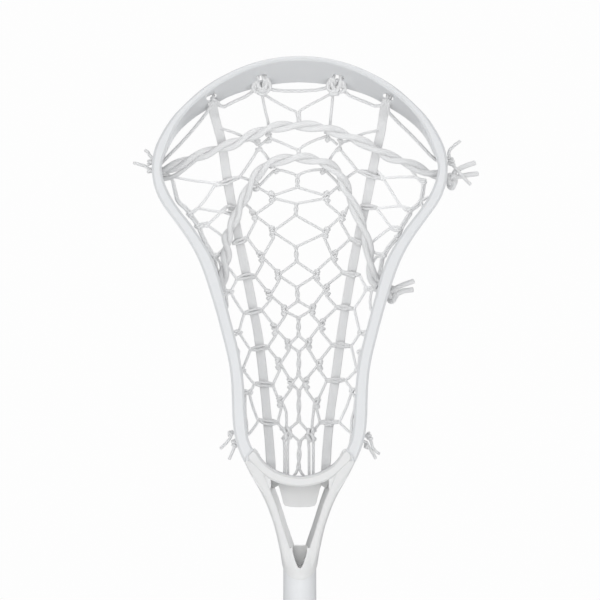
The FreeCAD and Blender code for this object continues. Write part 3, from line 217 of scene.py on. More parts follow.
LOWER_CROSSINGS = [3.0, 5.0, 6.99, 8.97, 10.99, 13.03, 15.0, 17.0, 19.0, 20.98, 23.99, 26.99]

# at its left end the upper shooting string parts: its second cord goes lower to the wall
SHOOTING_FORK = run("""
-58.92 3.74 1031.57, -63.25 5.28 1028.61, -67.56 6.45 1025.32, -71.25 7.12 1022.31,
-74.93 7.5 1019.52, -79.2 7.4 1017.56, -83.43 6.72 1016.8, -86.14 6.02 1016.76
""")

# the string laced through the scoop's slots, slot to slot
TOP_STRING = runs("""
-87.31 5.22 1023.43, -84.85 4.79 1025.84, -82.55 4.98 1028.1, -79.04 4.39 1031.72,
-72.9 3.22 1037.74, -66.74 1.54 1044.38, -60.57 -0.73 1051.45, -56.4 -6.8 1056.04,
-54.49 -9.5 1058.85, -52.37 -13.2 1062.18, -51.81 -15.5 1064.1, -51.9 -14.6 1066.28;
-53.09 -14.8 1064.46, -51.8 -15.8 1063.48, -49.56 -12.5 1062.54, -48.6 -8.6 1060.43,
-45.8 -7.4 1059.74, -39.15 -7.6 1063.05, -33.1 -7.9 1065.74, -29.17 -8.4 1068.24,
-26.64 -11 1071.4, -25.39 -13.8 1074.47, -25.01 -14.8 1076.78, -25.15 -14 1078.96;
-22.14 -14 1078.96, -21.88 -15 1076.17, -20.35 -12.6 1073.37, -18.7 -9.6 1071.03,
-15.88 -8.6 1069.73, -9.54 -8.6 1069.19, 0.12 -8.7 1069.12, 9.78 -8.6 1069.67,
15.51 -8.8 1070.86, 18.44 -11.6 1073.15, 20.21 -14.4 1075.62, 20.57 -14 1078.36;
24.49 -14 1078.36, 24.54 -14.6 1075.3, 25.56 -11 1072, 27.05 -8.6 1068.88,
30.02 -8 1066.46, 34.56 -7.7 1064.55, 40 -7.4 1062.4, 45.44 -7.2 1060.12,
49.33 -8.5 1060.38, 51.68 -12.2 1062.86, 52.54 -15 1064.74, 53.04 -14.6 1066.88;
54.84 -14.8 1065.66, 53.93 -14.8 1063.56, 52.94 -10.5 1059.98, 53.78 -7.2 1056.25,
60.84 0.02 1049.75, 66.99 1.63 1044.09, 73.14 3.11 1037.92, 79.29 4.49 1031.3,
82.35 4.81 1028.7, 84.48 4.78 1027.54, 86.9 4.45 1026.13, 89.66 4.68 1024.62
""")

# cords of the two knots that hang from the middle slots; in each knot two thick, then two thin
SCOOP_KNOTS = runs("""
-25.73 -15 1077.97, -25.75 -13.9 1075.36, -24.88 -12 1071.91, -23.1 -10.2 1069.05,
-21.91 -9 1067.04;
-20.02 -15 1077.97, -19.61 -13.9 1075.36, -20.66 -12 1071.91, -22.5 -10.2 1069.05,
-24.02 -9 1067.04;
-26.35 -14.2 1075.94, -27.7 -12.8 1073.05, -28.44 -11.4 1070.46, -26.72 -10.2 1068.57,
-24.01 -9.6 1068.2;
-19.43 -14.2 1075.94, -17.94 -12.8 1073.05, -17.84 -11.4 1070.46, -19.78 -10.2 1068.57,
-22.2 -9.6 1068.2;
24.77 -15 1077.97, 24.79 -13.9 1075.36, 23.92 -12 1071.91, 22.13 -10.2 1069.05,
20.94 -9 1067.04;
19.06 -15 1077.97, 18.65 -13.9 1075.36, 19.7 -12 1071.91, 21.53 -10.2 1069.05,
23.06 -9 1067.04;
25.38 -14.2 1075.94, 26.73 -12.8 1073.05, 27.48 -11.4 1070.46, 25.75 -10.2 1068.57,
23.05 -9.6 1068.2;
18.47 -14.2 1075.94, 16.98 -12.8 1073.05, 16.87 -11.4 1070.46, 18.82 -10.2 1068.57,
21.24 -9.6 1068.2
""")

# threads of the upper pocket, from the scoop down to the first row of knots
UPPER_THREADS = runs("""
-25.44 -14.6 1077.7, -25.4 -13.2 1075.12, -24.24 -10.4 1072.05, -23.43 -8.4 1069.2,
-22.51 -5.28 1065.53, -20.77 0.06 1057.16, -19.47 3.33 1052.54, -19.02 5.96 1048.46,
-18.62 7.99 1044.94;
-21.29 -14.6 1077.4, -21.55 -13 1074.54, -22.5 -10 1071.48, -21.32 -8.2 1067.05,
-16.84 -3.99 1064.48, -11.4 -2.32 1061.53, -5.95 -0.87 1058.79, -2.55 0.07 1057.52,
-1.46 -0.5 1054.99, -1.15 -1.02 1052.53, -0.97 -0.02 1049.56, -0.85 1.78 1047.86;
22.69 -13.5 1076, 21.23 -10.4 1072.65, 18.54 -8.2 1067.41, 12.84 -3.94 1064.61,
6.18 -2.15 1061.36, 1.09 -0.73 1058.56, -0.24 0.14 1057.41, -0.12 -0.5 1054.99,
0.12 -1.01 1052.53, 0.24 -0.02 1049.56, 0.24 1.78 1047.86;
20.88 -13.4 1075.4, 20.8 -10.4 1072.05, 20.17 -8.2 1068.01, 19.52 -2.39 1061.22,
18.96 1.27 1055.43, 18.52 4.96 1050.22, 17.57 7.48 1046.12;
-49.26 6.12 1047.49, -46.75 3.8 1047.15, -41.29 4.43 1045.43, -36.47 6.5 1043.62,
-31.64 8.86 1041.09, -27.69 9.88 1039.81, -25.87 10.69 1037.78;
49.51 6.33 1046.96, 46.4 4.35 1045.97, 40.32 4.76 1044.84, 35.5 6.73 1043.27,
30.42 9.2 1040.5, 26.71 10.04 1039.57, 24.58 10.76 1037.78;
-18.82 9.24 1041.96, -22.18 9.65 1039.18, -24.95 11 1037.19;
-18.21 9.27 1041.72, -13.31 8.46 1039.9, -9.04 8.79 1038.09, -4.77 9.7 1036.25,
-1.71 9.1 1034.99, -1.1 8.36 1033.12, -0.98 9.22 1030.36;
16.61 8.73 1043.03, 11.11 7.89 1041.27, 5.92 8.37 1039.1, 1.96 9.42 1036.91,
-0.24 9.1 1034.99, -0.06 8.36 1033.12, -0.06 9.22 1030.36;
17.53 9.19 1041.96, 20.28 9.2 1040.37, 22.75 10.71 1038.09;
-25.21 11.47 1035.69, -28.02 11.55 1031.1, -32.04 13.67 1025.1, -36.07 15.51 1019.55,
-36.82 16.2 1018.61;
-24.05 11.66 1035.39, -20.99 11.77 1031.97, -18.52 14.96 1028.23, -16.7 17.03 1025.09;
23.07 11.63 1035.57, 20.31 11.69 1032.21, 18.15 14.71 1028.83, 15.78 16.86 1025.58;
24.9 11.75 1035.09, 28.26 11.47 1030.79, 31.97 13.03 1026.59, 34.63 14.34 1023.17,
35.38 14.87 1022.4;
-36.82 16.2 1018.61, -33.66 17.5 1017.69, -30.32 19.73 1016.44, -27.27 20.97 1014.1;
35.38 14.87 1022.4, 32.96 16.23 1021.06, 30.24 18.61 1019.22, 25.36 20.88 1014.71;
-15.73 17.8 1022.49, -19.85 18.03 1018.57, -23.87 20.14 1014.37, -26.05 21.55 1011.97;
15.67 17.8 1022.49, 19.78 17.99 1018.69, 22.88 19.9 1015.59, 24.13 21.16 1013.8;
-14.62 17.69 1022.86, -10.93 16.52 1022.61, -6.94 16.61 1021.45, -3.25 17.08 1020.25,
-1.84 17.68 1018.86;
14.37 17.59 1023.1, 8.72 16.5 1022.79, 3.81 16.51 1021.81, 0.37 17.02 1020.43,
-0.86 17.69 1018.86;
-26.05 21.43 1012.27, -22.96 20.93 1010.71, -19.58 21.38 1008.76, -17.74 22.29 1006.77;
24.13 21.22 1013.19, 21.36 20.91 1011.08, 18.6 21.53 1008.58, 17.07 22.34 1006.77
""")

# links from the lower shooting string to the second knots: left, right
SHOULDER_LINKS = runs("""
-35.25 20.13 1002.93, -32.86 23.21 1001.69, -30.35 24.11 999.38, -28.87 24.07 996.66;
32.5 20.68 1002.45, 30.71 23.65 1001.21, 28.87 24.4 999.02, 27.15 24.38 996.37
""")

# ends of the middle and of the outer cords below the last knots: left, right
MIDDLE_TAILS = runs("""
-9.28 28.03 879.92, -8.34 25.78 873.84, -8.14 23.52 868.39, -8.31 21.25 863.57;
9.03 28.07 879.92, 8.52 25.98 874.45, 7.77 23.57 868.39, 7.33 21.08 862.97
""")
OUTER_TAILS = runs("""
-13.13 22.67 866.58, -11.21 21.32 864.19, -9.72 20.22 861.78;
12.02 22.99 866.81, 9.98 21.63 864.42, 8.12 20.42 861.77
""")

# threads from the two big bottom knots down behind the ball stop rail
RAIL_THREADS = runs("""
-9.78 19.35 859.37, -9.38 15.42 852.84, -9.24 12.33 845.06, -9.28 8.2 838.61,
-9.29 9.2 834.26;
-6.95 19.66 859.35, -7.42 15.6 852.82, -7.41 12.44 845.05, -7.26 8.2 838.61,
-7.27 9.2 834.26;
5.16 19.11 858.15, 5.64 15.38 852.22, 5.69 12.52 845.05, 5.68 8.2 838.61, 5.68 9.2 834.26;
8.36 18.84 858.17, 8.28 15.18 852.24, 8.26 12.39 845.06, 8.18 8.2 838.61, 8.19 9.2 834.26
""")

# turns of the two big knots above the rail, end to end: two on the left, two on the right
BOTTOM_KNOT_TURNS = runs("""
-9.97 20.47 862.38, -6.65 21.15 862.96;
-5.91 19.86 860.26, -9.22 18.77 858.91;
4.92 20.53 861.4, 8.49 20.49 862.01;
8.11 18.82 858.78, 5.04 18.66 858.05
""")

# the centre cords part below the last twist: left, right
TWIST_LEGS = runs("""
-0.73 9.59 840.04, -2.32 8.2 837.39, -4.15 8.8 834.9, -4.76 9 832.45;
-0.73 9.59 840.04, 1.04 8.2 837.39, 3.05 8.8 834.72, 3.48 9 832.45
""")

# sidewall strings: runs of doubled cord
SIDE_DOUBLE_LEFT = runs("""
-87.33 5.52 1024.36, -83.71 6.27 1023.3, -81.32 7.17 1021.7, -79.07 8.44 1018.41,
-77.89 9.35 1015.7, -76.79 10.48 1010.25, -75.55 11.31 1004.48, -73.94 12.14 1001.88,
-70.93 13.23 999.35, -68.15 14.04 996.44;
-87.11 6.98 1022.91, -83.19 7.91 1021.86, -80.74 8.76 1020.56, -78.36 10 1017.57,
-76.94 10.94 1014.86, -75.89 11.96 1010.01, -74.58 12.81 1004.84, -72.77 13.44 1002.42,
-70 14.37 1000.25, -66.97 15.31 997.22
""")
SIDE_DOUBLE_RIGHT = runs("""
75.32 10.39 1014.53, 74.86 11.1 1009.67, 73.92 11.82 1004.8, 72.37 12.57 1002.26,
69.96 13.58 1000.22, 68.03 14.22 998.77;
76.34 11.32 1014.08, 75.77 12.12 1009.1, 74.82 12.75 1004.23, 73.14 13.31 1001.19,
70.6 14.14 999.14, 68.55 14.8 997.81
""")

# side threads between wall and runner
SIDE_THREADS_LEFT = runs("""
-66.4 14.68 996.64, -63.67 15.44 998.94, -60.63 16.18 998.97, -54.56 17.98 997.93,
-49.08 19.49 997.12, -44.23 21.87 997.08, -41.25 25.81 996.48;
-65.81 15.25 996.05, -61.86 16.15 1000.07, -58.19 16.42 1004.38, -54.8 16.02 1009.39,
-52.01 15.38 1013.35, -51.28 15.57 1014.4;
-86.49 6.86 1019.24, -82.26 7.52 1019.15, -75.03 9.51 1017.79, -69.6 10.98 1016.76,
-64.15 12.35 1015.91, -58.08 13.7 1015.3, -52.91 14.83 1014.61, -51.28 15.57 1014.4;
-61.84 15.74 989.26, -59.42 16.53 990.08, -56.68 17.3 989.67, -54.56 18.09 991.17,
-49.26 19.52 996.2, -44.21 21.38 1000.57, -41.84 24.61 1002.85;
-61.55 16.07 987.18, -59.12 16.91 988.07, -56.69 17.47 988.94, -52.43 18.71 986.03,
-48.48 20.04 982.99, -45.76 21.56 981.18;
-67.28 13.98 994.35, -65.21 14.29 991.79, -63.15 14.78 988.86, -61.69 15.03 985.62,
-60.35 15.17 982.25, -57.42 15.73 976.5, -54.38 16.5 971.23, -52.93 17.02 969.53,
-51.6 17.69 966.34, -51.23 17.64 963.15, -50.26 17.98 960.2, -48.44 18.68 955.29,
-46.74 19.46 950.38, -46.37 19.38 948.23;
-66 15.52 995.26, -64.06 16 992.46, -61.99 16.49 989.4, -60.65 16.71 985.97,
-59.43 16.83 982.66, -56.63 17.4 977.15, -53.58 18.22 972, -51.76 18.87 969.93,
-49.22 20.02 966.07, -48.49 20.31 963.31, -48.72 19.85 960.53, -47.86 19.85 955.92,
-46.39 20.09 951.31, -45.41 20.2 948.54;
-51.74 18.13 970.28, -50.04 18.99 971.53, -48 20.38 973.52, -46.1 22.87 975.36;
-51.14 18.72 969.31, -49.45 19.48 970.55, -47.52 20.88 971.93, -45.8 23.11 973.51;
-44.84 21.93 963.33, -42.7 22.32 961.61, -40.8 22.95 958.72, -38.82 24.86 956.02,
-40.08 23.4 953.17, -42.01 21.92 949.41, -42.62 21.65 948.17;
-48.13 18.78 949.39, -45.41 20.16 948.97, -42.74 21.6 948.3, -40.53 22.05 943.99,
-37.73 23.14 939.42, -35.29 24.33 935.72, -34.33 25.66 934.73, -35.28 23.91 931.53,
-36.6 22.3 926.67, -37.44 21.63 923.91, -39.57 20.3 923.68, -42.89 18.13 923.95;
-47.82 18.54 946.69, -44.79 20.16 946.32, -42.51 22.13 947.44;
-42.27 17.96 920.88, -39.49 19.76 921.47, -37.57 21.9 923.04, -35.49 22.16 920.08,
-32.92 23.11 915.88, -30.5 25.27 912.32, -31.81 23.1 908.79, -33.61 21.06 904.22,
-34.94 19.99 900.8, -37.37 18.44 900.96, -40.44 18.41 900.96;
-40.13 18.21 897.65, -36.75 18.28 897.77, -34.83 20.49 899.92, -32.51 21.11 896.95,
-30.06 22.2 893.47, -28 24.06 891.19, -28.96 22.22 889.03, -30.77 20.73 886.37,
-33.09 19.65 887.28, -37.35 17.83 888.45;
-37.34 17.52 886.49, -33.69 18.78 885.71, -31.02 20.94 885.63, -30.27 20.03 882.09,
-28.42 19.63 875.96, -26.2 19.35 870.19, -25.35 20.3 869.16, -26.42 18.23 867.05,
-28.96 15.64 863.5, -31.13 14.01 860.88, -34.17 12.94 859.72;
-45.41 20.43 948.05, -44.91 20.01 943, -44.53 19.67 939.31, -45.72 18.4 935.63,
-47.81 18.41 934.4;
-40.7 19.1 919.64, -39.11 19.17 914.72, -37.4 19.92 911.01, -38 19.06 906.97,
-40.45 18.76 905.5;
-36.17 19.86 900.8, -35.43 19.93 898.09, -37 18.72 895.05, -39.83 18.66 893.83;
-33.47 19.94 885.17, -33.68 18.53 878.47, -33.41 17.44 872.37, -32.41 16.69 866.88,
-32.37 14.86 861.45, -34.48 13.3 858.17
""")
SIDE_THREADS_RIGHT = runs("""
74.18 12.16 1003.9, 74.79 12.14 1001.45, 76.02 12.15 998.7, 77.85 12.16 997.47;
81.44 10.57 1006.22, 78.42 11.16 1006, 76 11.76 1004.56, 74.55 12.24 1003.84;
47.4 16.95 1022.33, 49.04 14.36 1020.6, 50.87 14.33 1017.9, 53.16 14.83 1014.49,
57.18 15.83 1008.16, 60.5 15.92 1002.76, 62.39 15.76 1000.67, 64.53 15.47 998.51,
66.04 15.03 997.33;
50.87 14.29 1018.02, 55.86 13.18 1018.09, 61.33 12.14 1018.34, 68.61 10.76 1018.28,
72.26 10.38 1017.58, 75.55 10.21 1016.11;
68.31 10.89 1022.26, 70.43 10.47 1019.42, 72.76 10.59 1016.37, 74.98 10.89 1014.43;
46.91 20.9 999.88, 49.33 19.58 999.58, 56.01 17.39 1000.36, 60.87 16.01 1000.68,
64.51 15.15 999.91, 67.79 14.4 999.02;
44.54 24.35 1000.38, 46.6 20.99 999.76, 47.86 20.07 998.37, 49.69 19.5 996.26,
52.74 18.68 992.17, 55.78 17.67 988.09, 58.21 17.15 987.83, 60.52 16.37 988.05;
61.48 15.99 986.2, 58.69 16.87 985.49, 55.42 18.05 986.87, 53.35 18.47 985.78,
48.72 19.92 982.12, 44.85 22.04 978.85, 42.67 23.62 977.66;
67.3 14.26 996.57, 65.11 14.61 993.51, 62.31 15.31 988.75, 61.1 15.52 985.94,
59.86 15.38 982.25, 56.83 16.34 979.21, 53.8 17.32 975.3, 51.49 18.19 971.51,
50.28 18.55 969.06, 49.3 18.66 962.67, 48.08 19.09 957.14, 47.23 19.59 953.15,
46.14 19.92 950.38, 44.19 20.77 948.29, 43.46 20.86 944.85, 43.2 20.61 941.15,
43.8 19.95 936.85, 45.91 18.4 935.01;
68.42 14.71 996.09, 66.23 15.21 992.8, 63.32 15.83 988.03, 62.1 15.98 984.97,
60.87 15.99 981.41, 57.84 16.97 978.37, 54.8 17.95 974.58, 52.61 18.55 970.78,
51.28 19.03 968.45, 50.3 19.3 962.31, 49.2 19.55 957.15, 48.35 19.71 952.84,
47.85 19.7 950.38;
52.71 17.9 971.63, 49.32 19.42 971.41, 46.53 20.71 971.8, 44.73 22.36 973.81,
42.69 24.4 975.7;
52.6 18.13 969.79, 49.69 19.38 969.81, 47.26 20.42 969.58, 46.05 21.17 967.87,
44.61 22.45 965.43, 43.61 23.91 963.97;
37.35 25.5 957.57, 38 24.33 956.2, 39.34 23.47 953.48, 41.16 22.58 950.52,
43.84 21.38 950.88, 46.02 20.15 950.14, 47.83 19.03 948.53;
44.33 21.14 948.66, 42.26 22.27 949.28, 40.8 22.75 949.29, 39.2 23.01 946.33,
36.39 24.08 941.77, 33.84 26 938.06, 34.19 24.86 934.98, 35.51 23.33 929.44,
36.72 22.08 924.27, 38.54 20.99 923.42, 41.93 18.9 923.94;
41.91 18.23 921.49, 38.89 20.3 921.46, 37.03 22.16 922.92, 35.49 22.22 920.45,
33.41 22.98 917.11, 31.72 24.59 914.62, 32.3 23.2 912.18, 33.38 21.64 907.28,
34.58 20.12 902.39, 35.06 19.84 900.19, 37.01 18.8 899.66, 39.46 18.62 899.73;
38.62 19.39 912.5, 36.68 20.62 912.1, 35.71 21.18 910.99, 36.67 20.26 909.53,
38.73 18.81 909.19;
37.66 20.49 912.23, 36.55 20.24 907.31, 36.17 19.72 902.4, 35.08 20.39 899.8,
32.75 21.03 897.69, 30.07 22.42 894.82, 28.01 24.3 893.65, 29.33 22.48 891.86,
32 20.23 888.12, 34.3 18.89 888.53, 37.6 18.01 889.3;
36.85 17.4 883.12, 33.69 18.73 883.74, 32.12 20.42 886.76, 30.88 19.9 883.33,
28.79 19.79 877.43, 25.83 19.66 871.04, 24.36 20.13 868.06, 25.69 18.3 866.43,
28.59 15.88 863.73, 31.98 13.69 861.02, 35.03 13.21 860.31;
34.91 18.43 884.62, 34.04 17.96 880.33, 33.41 17.28 875.45, 31.8 16.89 869.33,
31.65 15.48 864.49, 31.75 14.14 860.88, 30.97 12.13 855.48, 29.39 6.6 851.52,
28.52 8.6 846.52
""")

# turns round the runners in the upper pocket
UPPER_WRAPS = runs("""
-36.83 16.4 1018.62, -40.35 15.21 1018.07, -43.42 15.09 1016.96, -47.1 15.08 1015.61,
-50.43 15.77 1014.54, -51.32 16.83 1014.22, -47.88 20.63 1014.39, -42.96 20.67 1016.24,
-38.91 18.85 1017.88, -37.57 16.89 1017.66, -40.98 15.83 1016.26, -44.05 15.94 1014.42,
-48.34 15.64 1013.55, -51.06 16.2 1013.82;
35.38 15.07 1022.41, 38.73 14.07 1021.81, 42.16 13.9 1020.58, 46.08 13.98 1018.99,
49.78 14.65 1018.04, 51.04 15.59 1017.96, 48.06 18.53 1020.2, 42.53 18.46 1022.28,
37.58 17.23 1022.46, 36.31 15.53 1021.52, 39.36 14.69 1020, 42.79 14.63 1018.41,
46.71 14.47 1017.54, 50.77 15.01 1017.44;
37.72 22.65 1001.54, 41.05 20.5 1001.22, 44.16 19.76 1001.07, 47.13 20.2 1000.22,
48.15 21.28 999.4, 44.57 25.13 999.79, 39.65 26.13 999.82, 37.44 24.06 999.75,
40.14 20.94 999.26, 43.81 20.2 999.11, 47.51 20.45 999.25;
-40.54 22.33 1000.55, -43.25 20.07 1001.2, -45.66 20.33 1000.23, -47.5 20.33 998.63,
-49.1 20.26 997.39;
-43.57 20.54 997.77, -40.21 21.29 996.81, -37.48 22.93 996.87, -39.42 26.79 995.77,
-43.71 25.47 996.34, -46.31 21.41 996.82, -43.58 20.85 995.94, -39.6 21.65 994.98
""")

# small hitches along the sidewalls: the two ends of each coil
SIDE_KNOTS = runs("""
-68.15 14.22 996.2, -66.94 14.55 994.86; -63.54 15.21 988.75, -61.96 15.75 987.66;
-52.47 17.89 969.79, -51.14 18.64 970.41; -43.23 21.55 948.54, -42.14 22.12 948.17;
-37.81 21.52 923.54, -37.08 21.96 923.17; -35.55 19.72 900.68, -34.83 20.22 900.18;
-31.39 20.52 886.26, -30.66 20.96 886.12; 75.68 10.32 1016.36, 76.06 10.61 1014.54;
67.31 14.66 999.03, 67.91 14.36 996.94; 60.64 16.32 988.05, 61.35 15.7 984.96;
60.01 15.97 982.64, 59.27 16.03 980.8; 51.39 18.66 971.64, 51.86 18.15 969.3;
46.51 19.87 950.14, 47.47 19.09 948.78; 40.44 23.21 950.03, 41.17 22.77 949.41;
36.6 22.31 923.28, 37.32 21.74 922.8; 34.7 20.31 900.17, 35.43 19.72 899.7;
31.51 20.67 887.61, 32.12 20.14 886.89; -51.53 15.69 1014.53, -50.44 16.06 1013.94;
50.27 14.68 1018.04, 51.25 14.7 1017.55; -56.89 17.83 989.81, -56.52 17.93 988.83
""")

# ties outside the sidewalls: name, CAD node, cord radius, radius of the knot's turns,
# loose ends, ends of each turn of the knot
STRING_TIES_UPPER = [
    ("tie_cord_upper_left", "string_tie_upper_left", TAIL_RADIUS, 1.0, runs("""
-86.95 4.2 1028.24, -89.59 3.6 1029.06, -91.52 3.2 1031.23, -92.36 3 1032.92,
-94.03 2.6 1034.11;
-86.66 4.4 1022.16, -89.99 4.2 1021.3, -92.16 3.8 1022.99, -94.21 3.4 1024.55,
-97.33 2.8 1025.49, -100.94 2.2 1026.43
"""), runs("-90.97 4.2 1028.24, -91.21 4.2 1025.44; -90.72 4.2 1023.01, -91.33 4.2 1020.69")),
    ("tie_cord_upper_right", "string_tie_upper_right", TAIL_RADIUS, 1.1, runs("""
89.33 4.4 1029.17, 91.15 4.2 1029.77, 90.58 3.8 1032.48, 91.53 3.4 1034.65,
94.42 3 1037.42, 97.56 2.6 1039.71;
89.93 4.2 1026.42, 93.15 4 1025.07, 95.68 3.6 1022.37, 99.29 3 1017.83, 103.75 2.4 1013.3
"""), runs("91.94 4.2 1028.97, 92.92 4.2 1025.08")),
]
SHOOTER_TIES = [
    ("shooter_tie_upper", "shooting_tie_upper_right", 1.55, 1.75, runs("""
87.35 7 1016.2, 92.5 6.4 1017.02, 94.61 6 1021.27, 98.55 5.6 1023.69,
102.47 5 1025.24, 106.58 4.6 1026.56;
87.35 7 1018.64, 92.18 6.2 1018.6, 95.82 5.8 1017.97, 100.04 5.2 1018.79,
103.98 4.8 1019.51, 108.26 4.2 1019.84
"""), runs("92.51 6.6 1019.84, 92.82 6.6 1011.3")),
    ("shooter_tie_lower", "shooting_tie_lower_right", 1.6, 1.95, runs("""
53.58 18 950.37, 56.98 17 948.89, 59.66 16.4 950.61, 63.63 16 952.45, 69.68 15.4 954.53;
52.96 18 944.84, 57.22 17 944.53, 60.27 16.4 947.05, 63.94 16 948.65, 69.2 15.6 949.26
"""), runs("57.36 17.4 950.98, 56.5 17.4 942.02")),
]
STRING_TIES_LOWER = [
    ("tie_cord_lower_left", "string_tie_lower_left", LOWER_TAIL_RADIUS, 1.0, runs("""
-39.71 14 861.5, -41.78 13.4 861.41, -42.5 13 858.73, -44.82 12.6 855.69, -48.47 12 852.18;
-37.87 14 857.21, -39.94 13.6 856.37, -40.18 13.2 852.6, -41.64 12.8 849.07,
-43.21 12.2 845.56
"""), runs("-42.39 13.6 862.5, -42.39 13.6 859.93; -40.43 13.6 857.23, -39.94 13.6 852.94")),
    ("tie_cord_lower_right", "string_tie_lower_right", LOWER_TAIL_RADIUS, 1.0, runs("""
39.34 14 859.66, 42.15 13.6 859.31, 43.49 13.2 856.64, 44.7 12.8 852.62,
46.41 12.6 850.43, 48.72 12.2 848.86;
38.12 14 856.6, 40.92 13.6 855.76, 42.26 13.2 852.84, 43.84 12.8 850.54,
45.18 12.6 848.35, 46.4 12.2 846.05
"""), runs("41.54 13.6 861.27, 43.25 13.6 857.48; 39.94 13.6 853.92, 42.03 13.6 853.19")),
]

# lip at the right end of the ring; the left one is its mirror image
RING_END_LIP = run("""
31.85 -11.9 845.2, 31.85 -11.95 846.8, 31.65 -12 848.4, 31.15 -12 849.8, 30.25 -12 851,
29.2 -12 851.95, 28.2 -11.9 852.7
""")


# ---------------------------------------------------------------- lines
def unit(vectors):
    return vectors / np.linalg.norm(vectors, axis=-1, keepdims=True)


def travelled(line):
    """Distance along the line at each of its points."""
    return np.r_[0, np.cumsum(np.linalg.norm(np.diff(line, axis=0), axis=1))]


def evenly(line, step):
    """The line resampled at even steps, no longer than step."""
    distance = travelled(line)
    count = max(3, int(math.ceil(distance[-1] / step)) + 1)
    even = np.linspace(0, distance[-1], count)
    return np.array([np.interp(even, distance, line[:, k]) for k in range(3)]).T


def smooth(points, step):
    """Centripetal Catmull-Rom line through the points, resampled at even steps."""
    apart = np.linalg.norm(np.diff(points, axis=0), axis=1) > 0.05
    p = points[np.r_[True, apart]]
    p = np.vstack([2 * p[0] - p[1], p, 2 * p[-1] - p[-2]])
    pieces = []
    for i in range(1, len(p) - 2):
        p0, p1, p2, p3 = p[i - 1:i + 3]
        t1 = np.linalg.norm(p1 - p0) ** 0.5
        t2 = t1 + np.linalg.norm(p2 - p1) ** 0.5
        t3 = t2 + np.linalg.norm(p3 - p2) ** 0.5
        count = max(3, int(np.linalg.norm(p2 - p1) / step * 2))
        t = np.linspace(t1, t2, count, endpoint=False)[:, None]
        a1 = (t1 - t) / t1 * p0 + t / t1 * p1
        a2 = (t2 - t) / (t2 - t1) * p1 + (t - t1) / (t2 - t1) * p2
        a3 = (t3 - t) / (t3 - t2) * p2 + (t - t2) / (t3 - t2) * p3
        b1 = (t2 - t) / t2 * a1 + t / t2 * a2
        b2 = (t3 - t) / (t3 - t1) * a2 + (t - t1) / (t3 - t1) * a3
        pieces.append((t2 - t) / (t2 - t1) * b1 + (t - t1) / (t2 - t1) * b2)
    pieces.append(p[-2:-1])
    return evenly(np.vstack(pieces), step)


def taut(points):
    """Adds points near both ends of each longer span, so the cord is straight between bends."""
    out = [points[0]]
    for start, end in zip(points[:-1], points[1:]):
        span = end - start
        length = np.linalg.norm(span)
        if length > 2.2:
            bend = min(0.9, 0.3 * length) / length
            out += [start + span * bend, end - span * bend]
        out.append(end)
    return np.array(out)


def tangents(line):
    return unit(np.gradient(line, axis=0))


def carried_frames(line):
    """Tangent, side and up vectors, carried along the line without twisting."""
    tangent = tangents(line)
    side = np.zeros_like(tangent)
    reference = (0.0, 1.0, 0.0) if abs(tangent[0, 1]) < 0.9 else (1.0, 0.0, 0.0)
    side[0] = unit(np.cross(tangent[0], reference))
    for i in range(1, len(line)):
        side[i] = unit(side[i - 1] - tangent[i] * (side[i - 1] @ tangent[i]))
    return tangent, side, np.cross(side, tangent)


def facing_frames(line):
    """Side and up vectors along the line, with up kept as near to +Y as it can be."""
    tangent = tangents(line)
    side = unit(np.cross(tangent, (0.0, 1.0, 0.0)))
    return side, np.cross(side, tangent)


def inward(x):
    """Sign of the direction along X from x to the middle of the pocket."""
    return 1.0 if x < 0 else -1.0


def near(place, sign, *offsets):
    """Points beside a place; the x of each offset runs towards the pocket's middle."""
    return place + np.array(offsets) * [sign, 1.0, 1.0]


# ---------------------------------------------------------------- meshes
TIP_REACH = np.array([0.42, 0.25])   # two extra rings dome a cord's tip: distance beyond the end
TIP_GIRTH = np.array([0.55, 0.86])   # and size, both as shares of the radius

# one face of the band's section: x in half widths, y in half thicknesses, a bead at each edge
BAND_FACE = np.array([
    (-1.0, 0.0), (-0.985, 0.42), (-0.93, 0.78), (-0.86, 0.98), (-0.78, 0.93), (-0.70, 0.86),
    (-0.35, 0.87), (0, 0.88), (0.35, 0.87), (0.70, 0.86), (0.78, 0.93), (0.86, 0.98),
    (0.93, 0.78), (0.985, 0.42)])


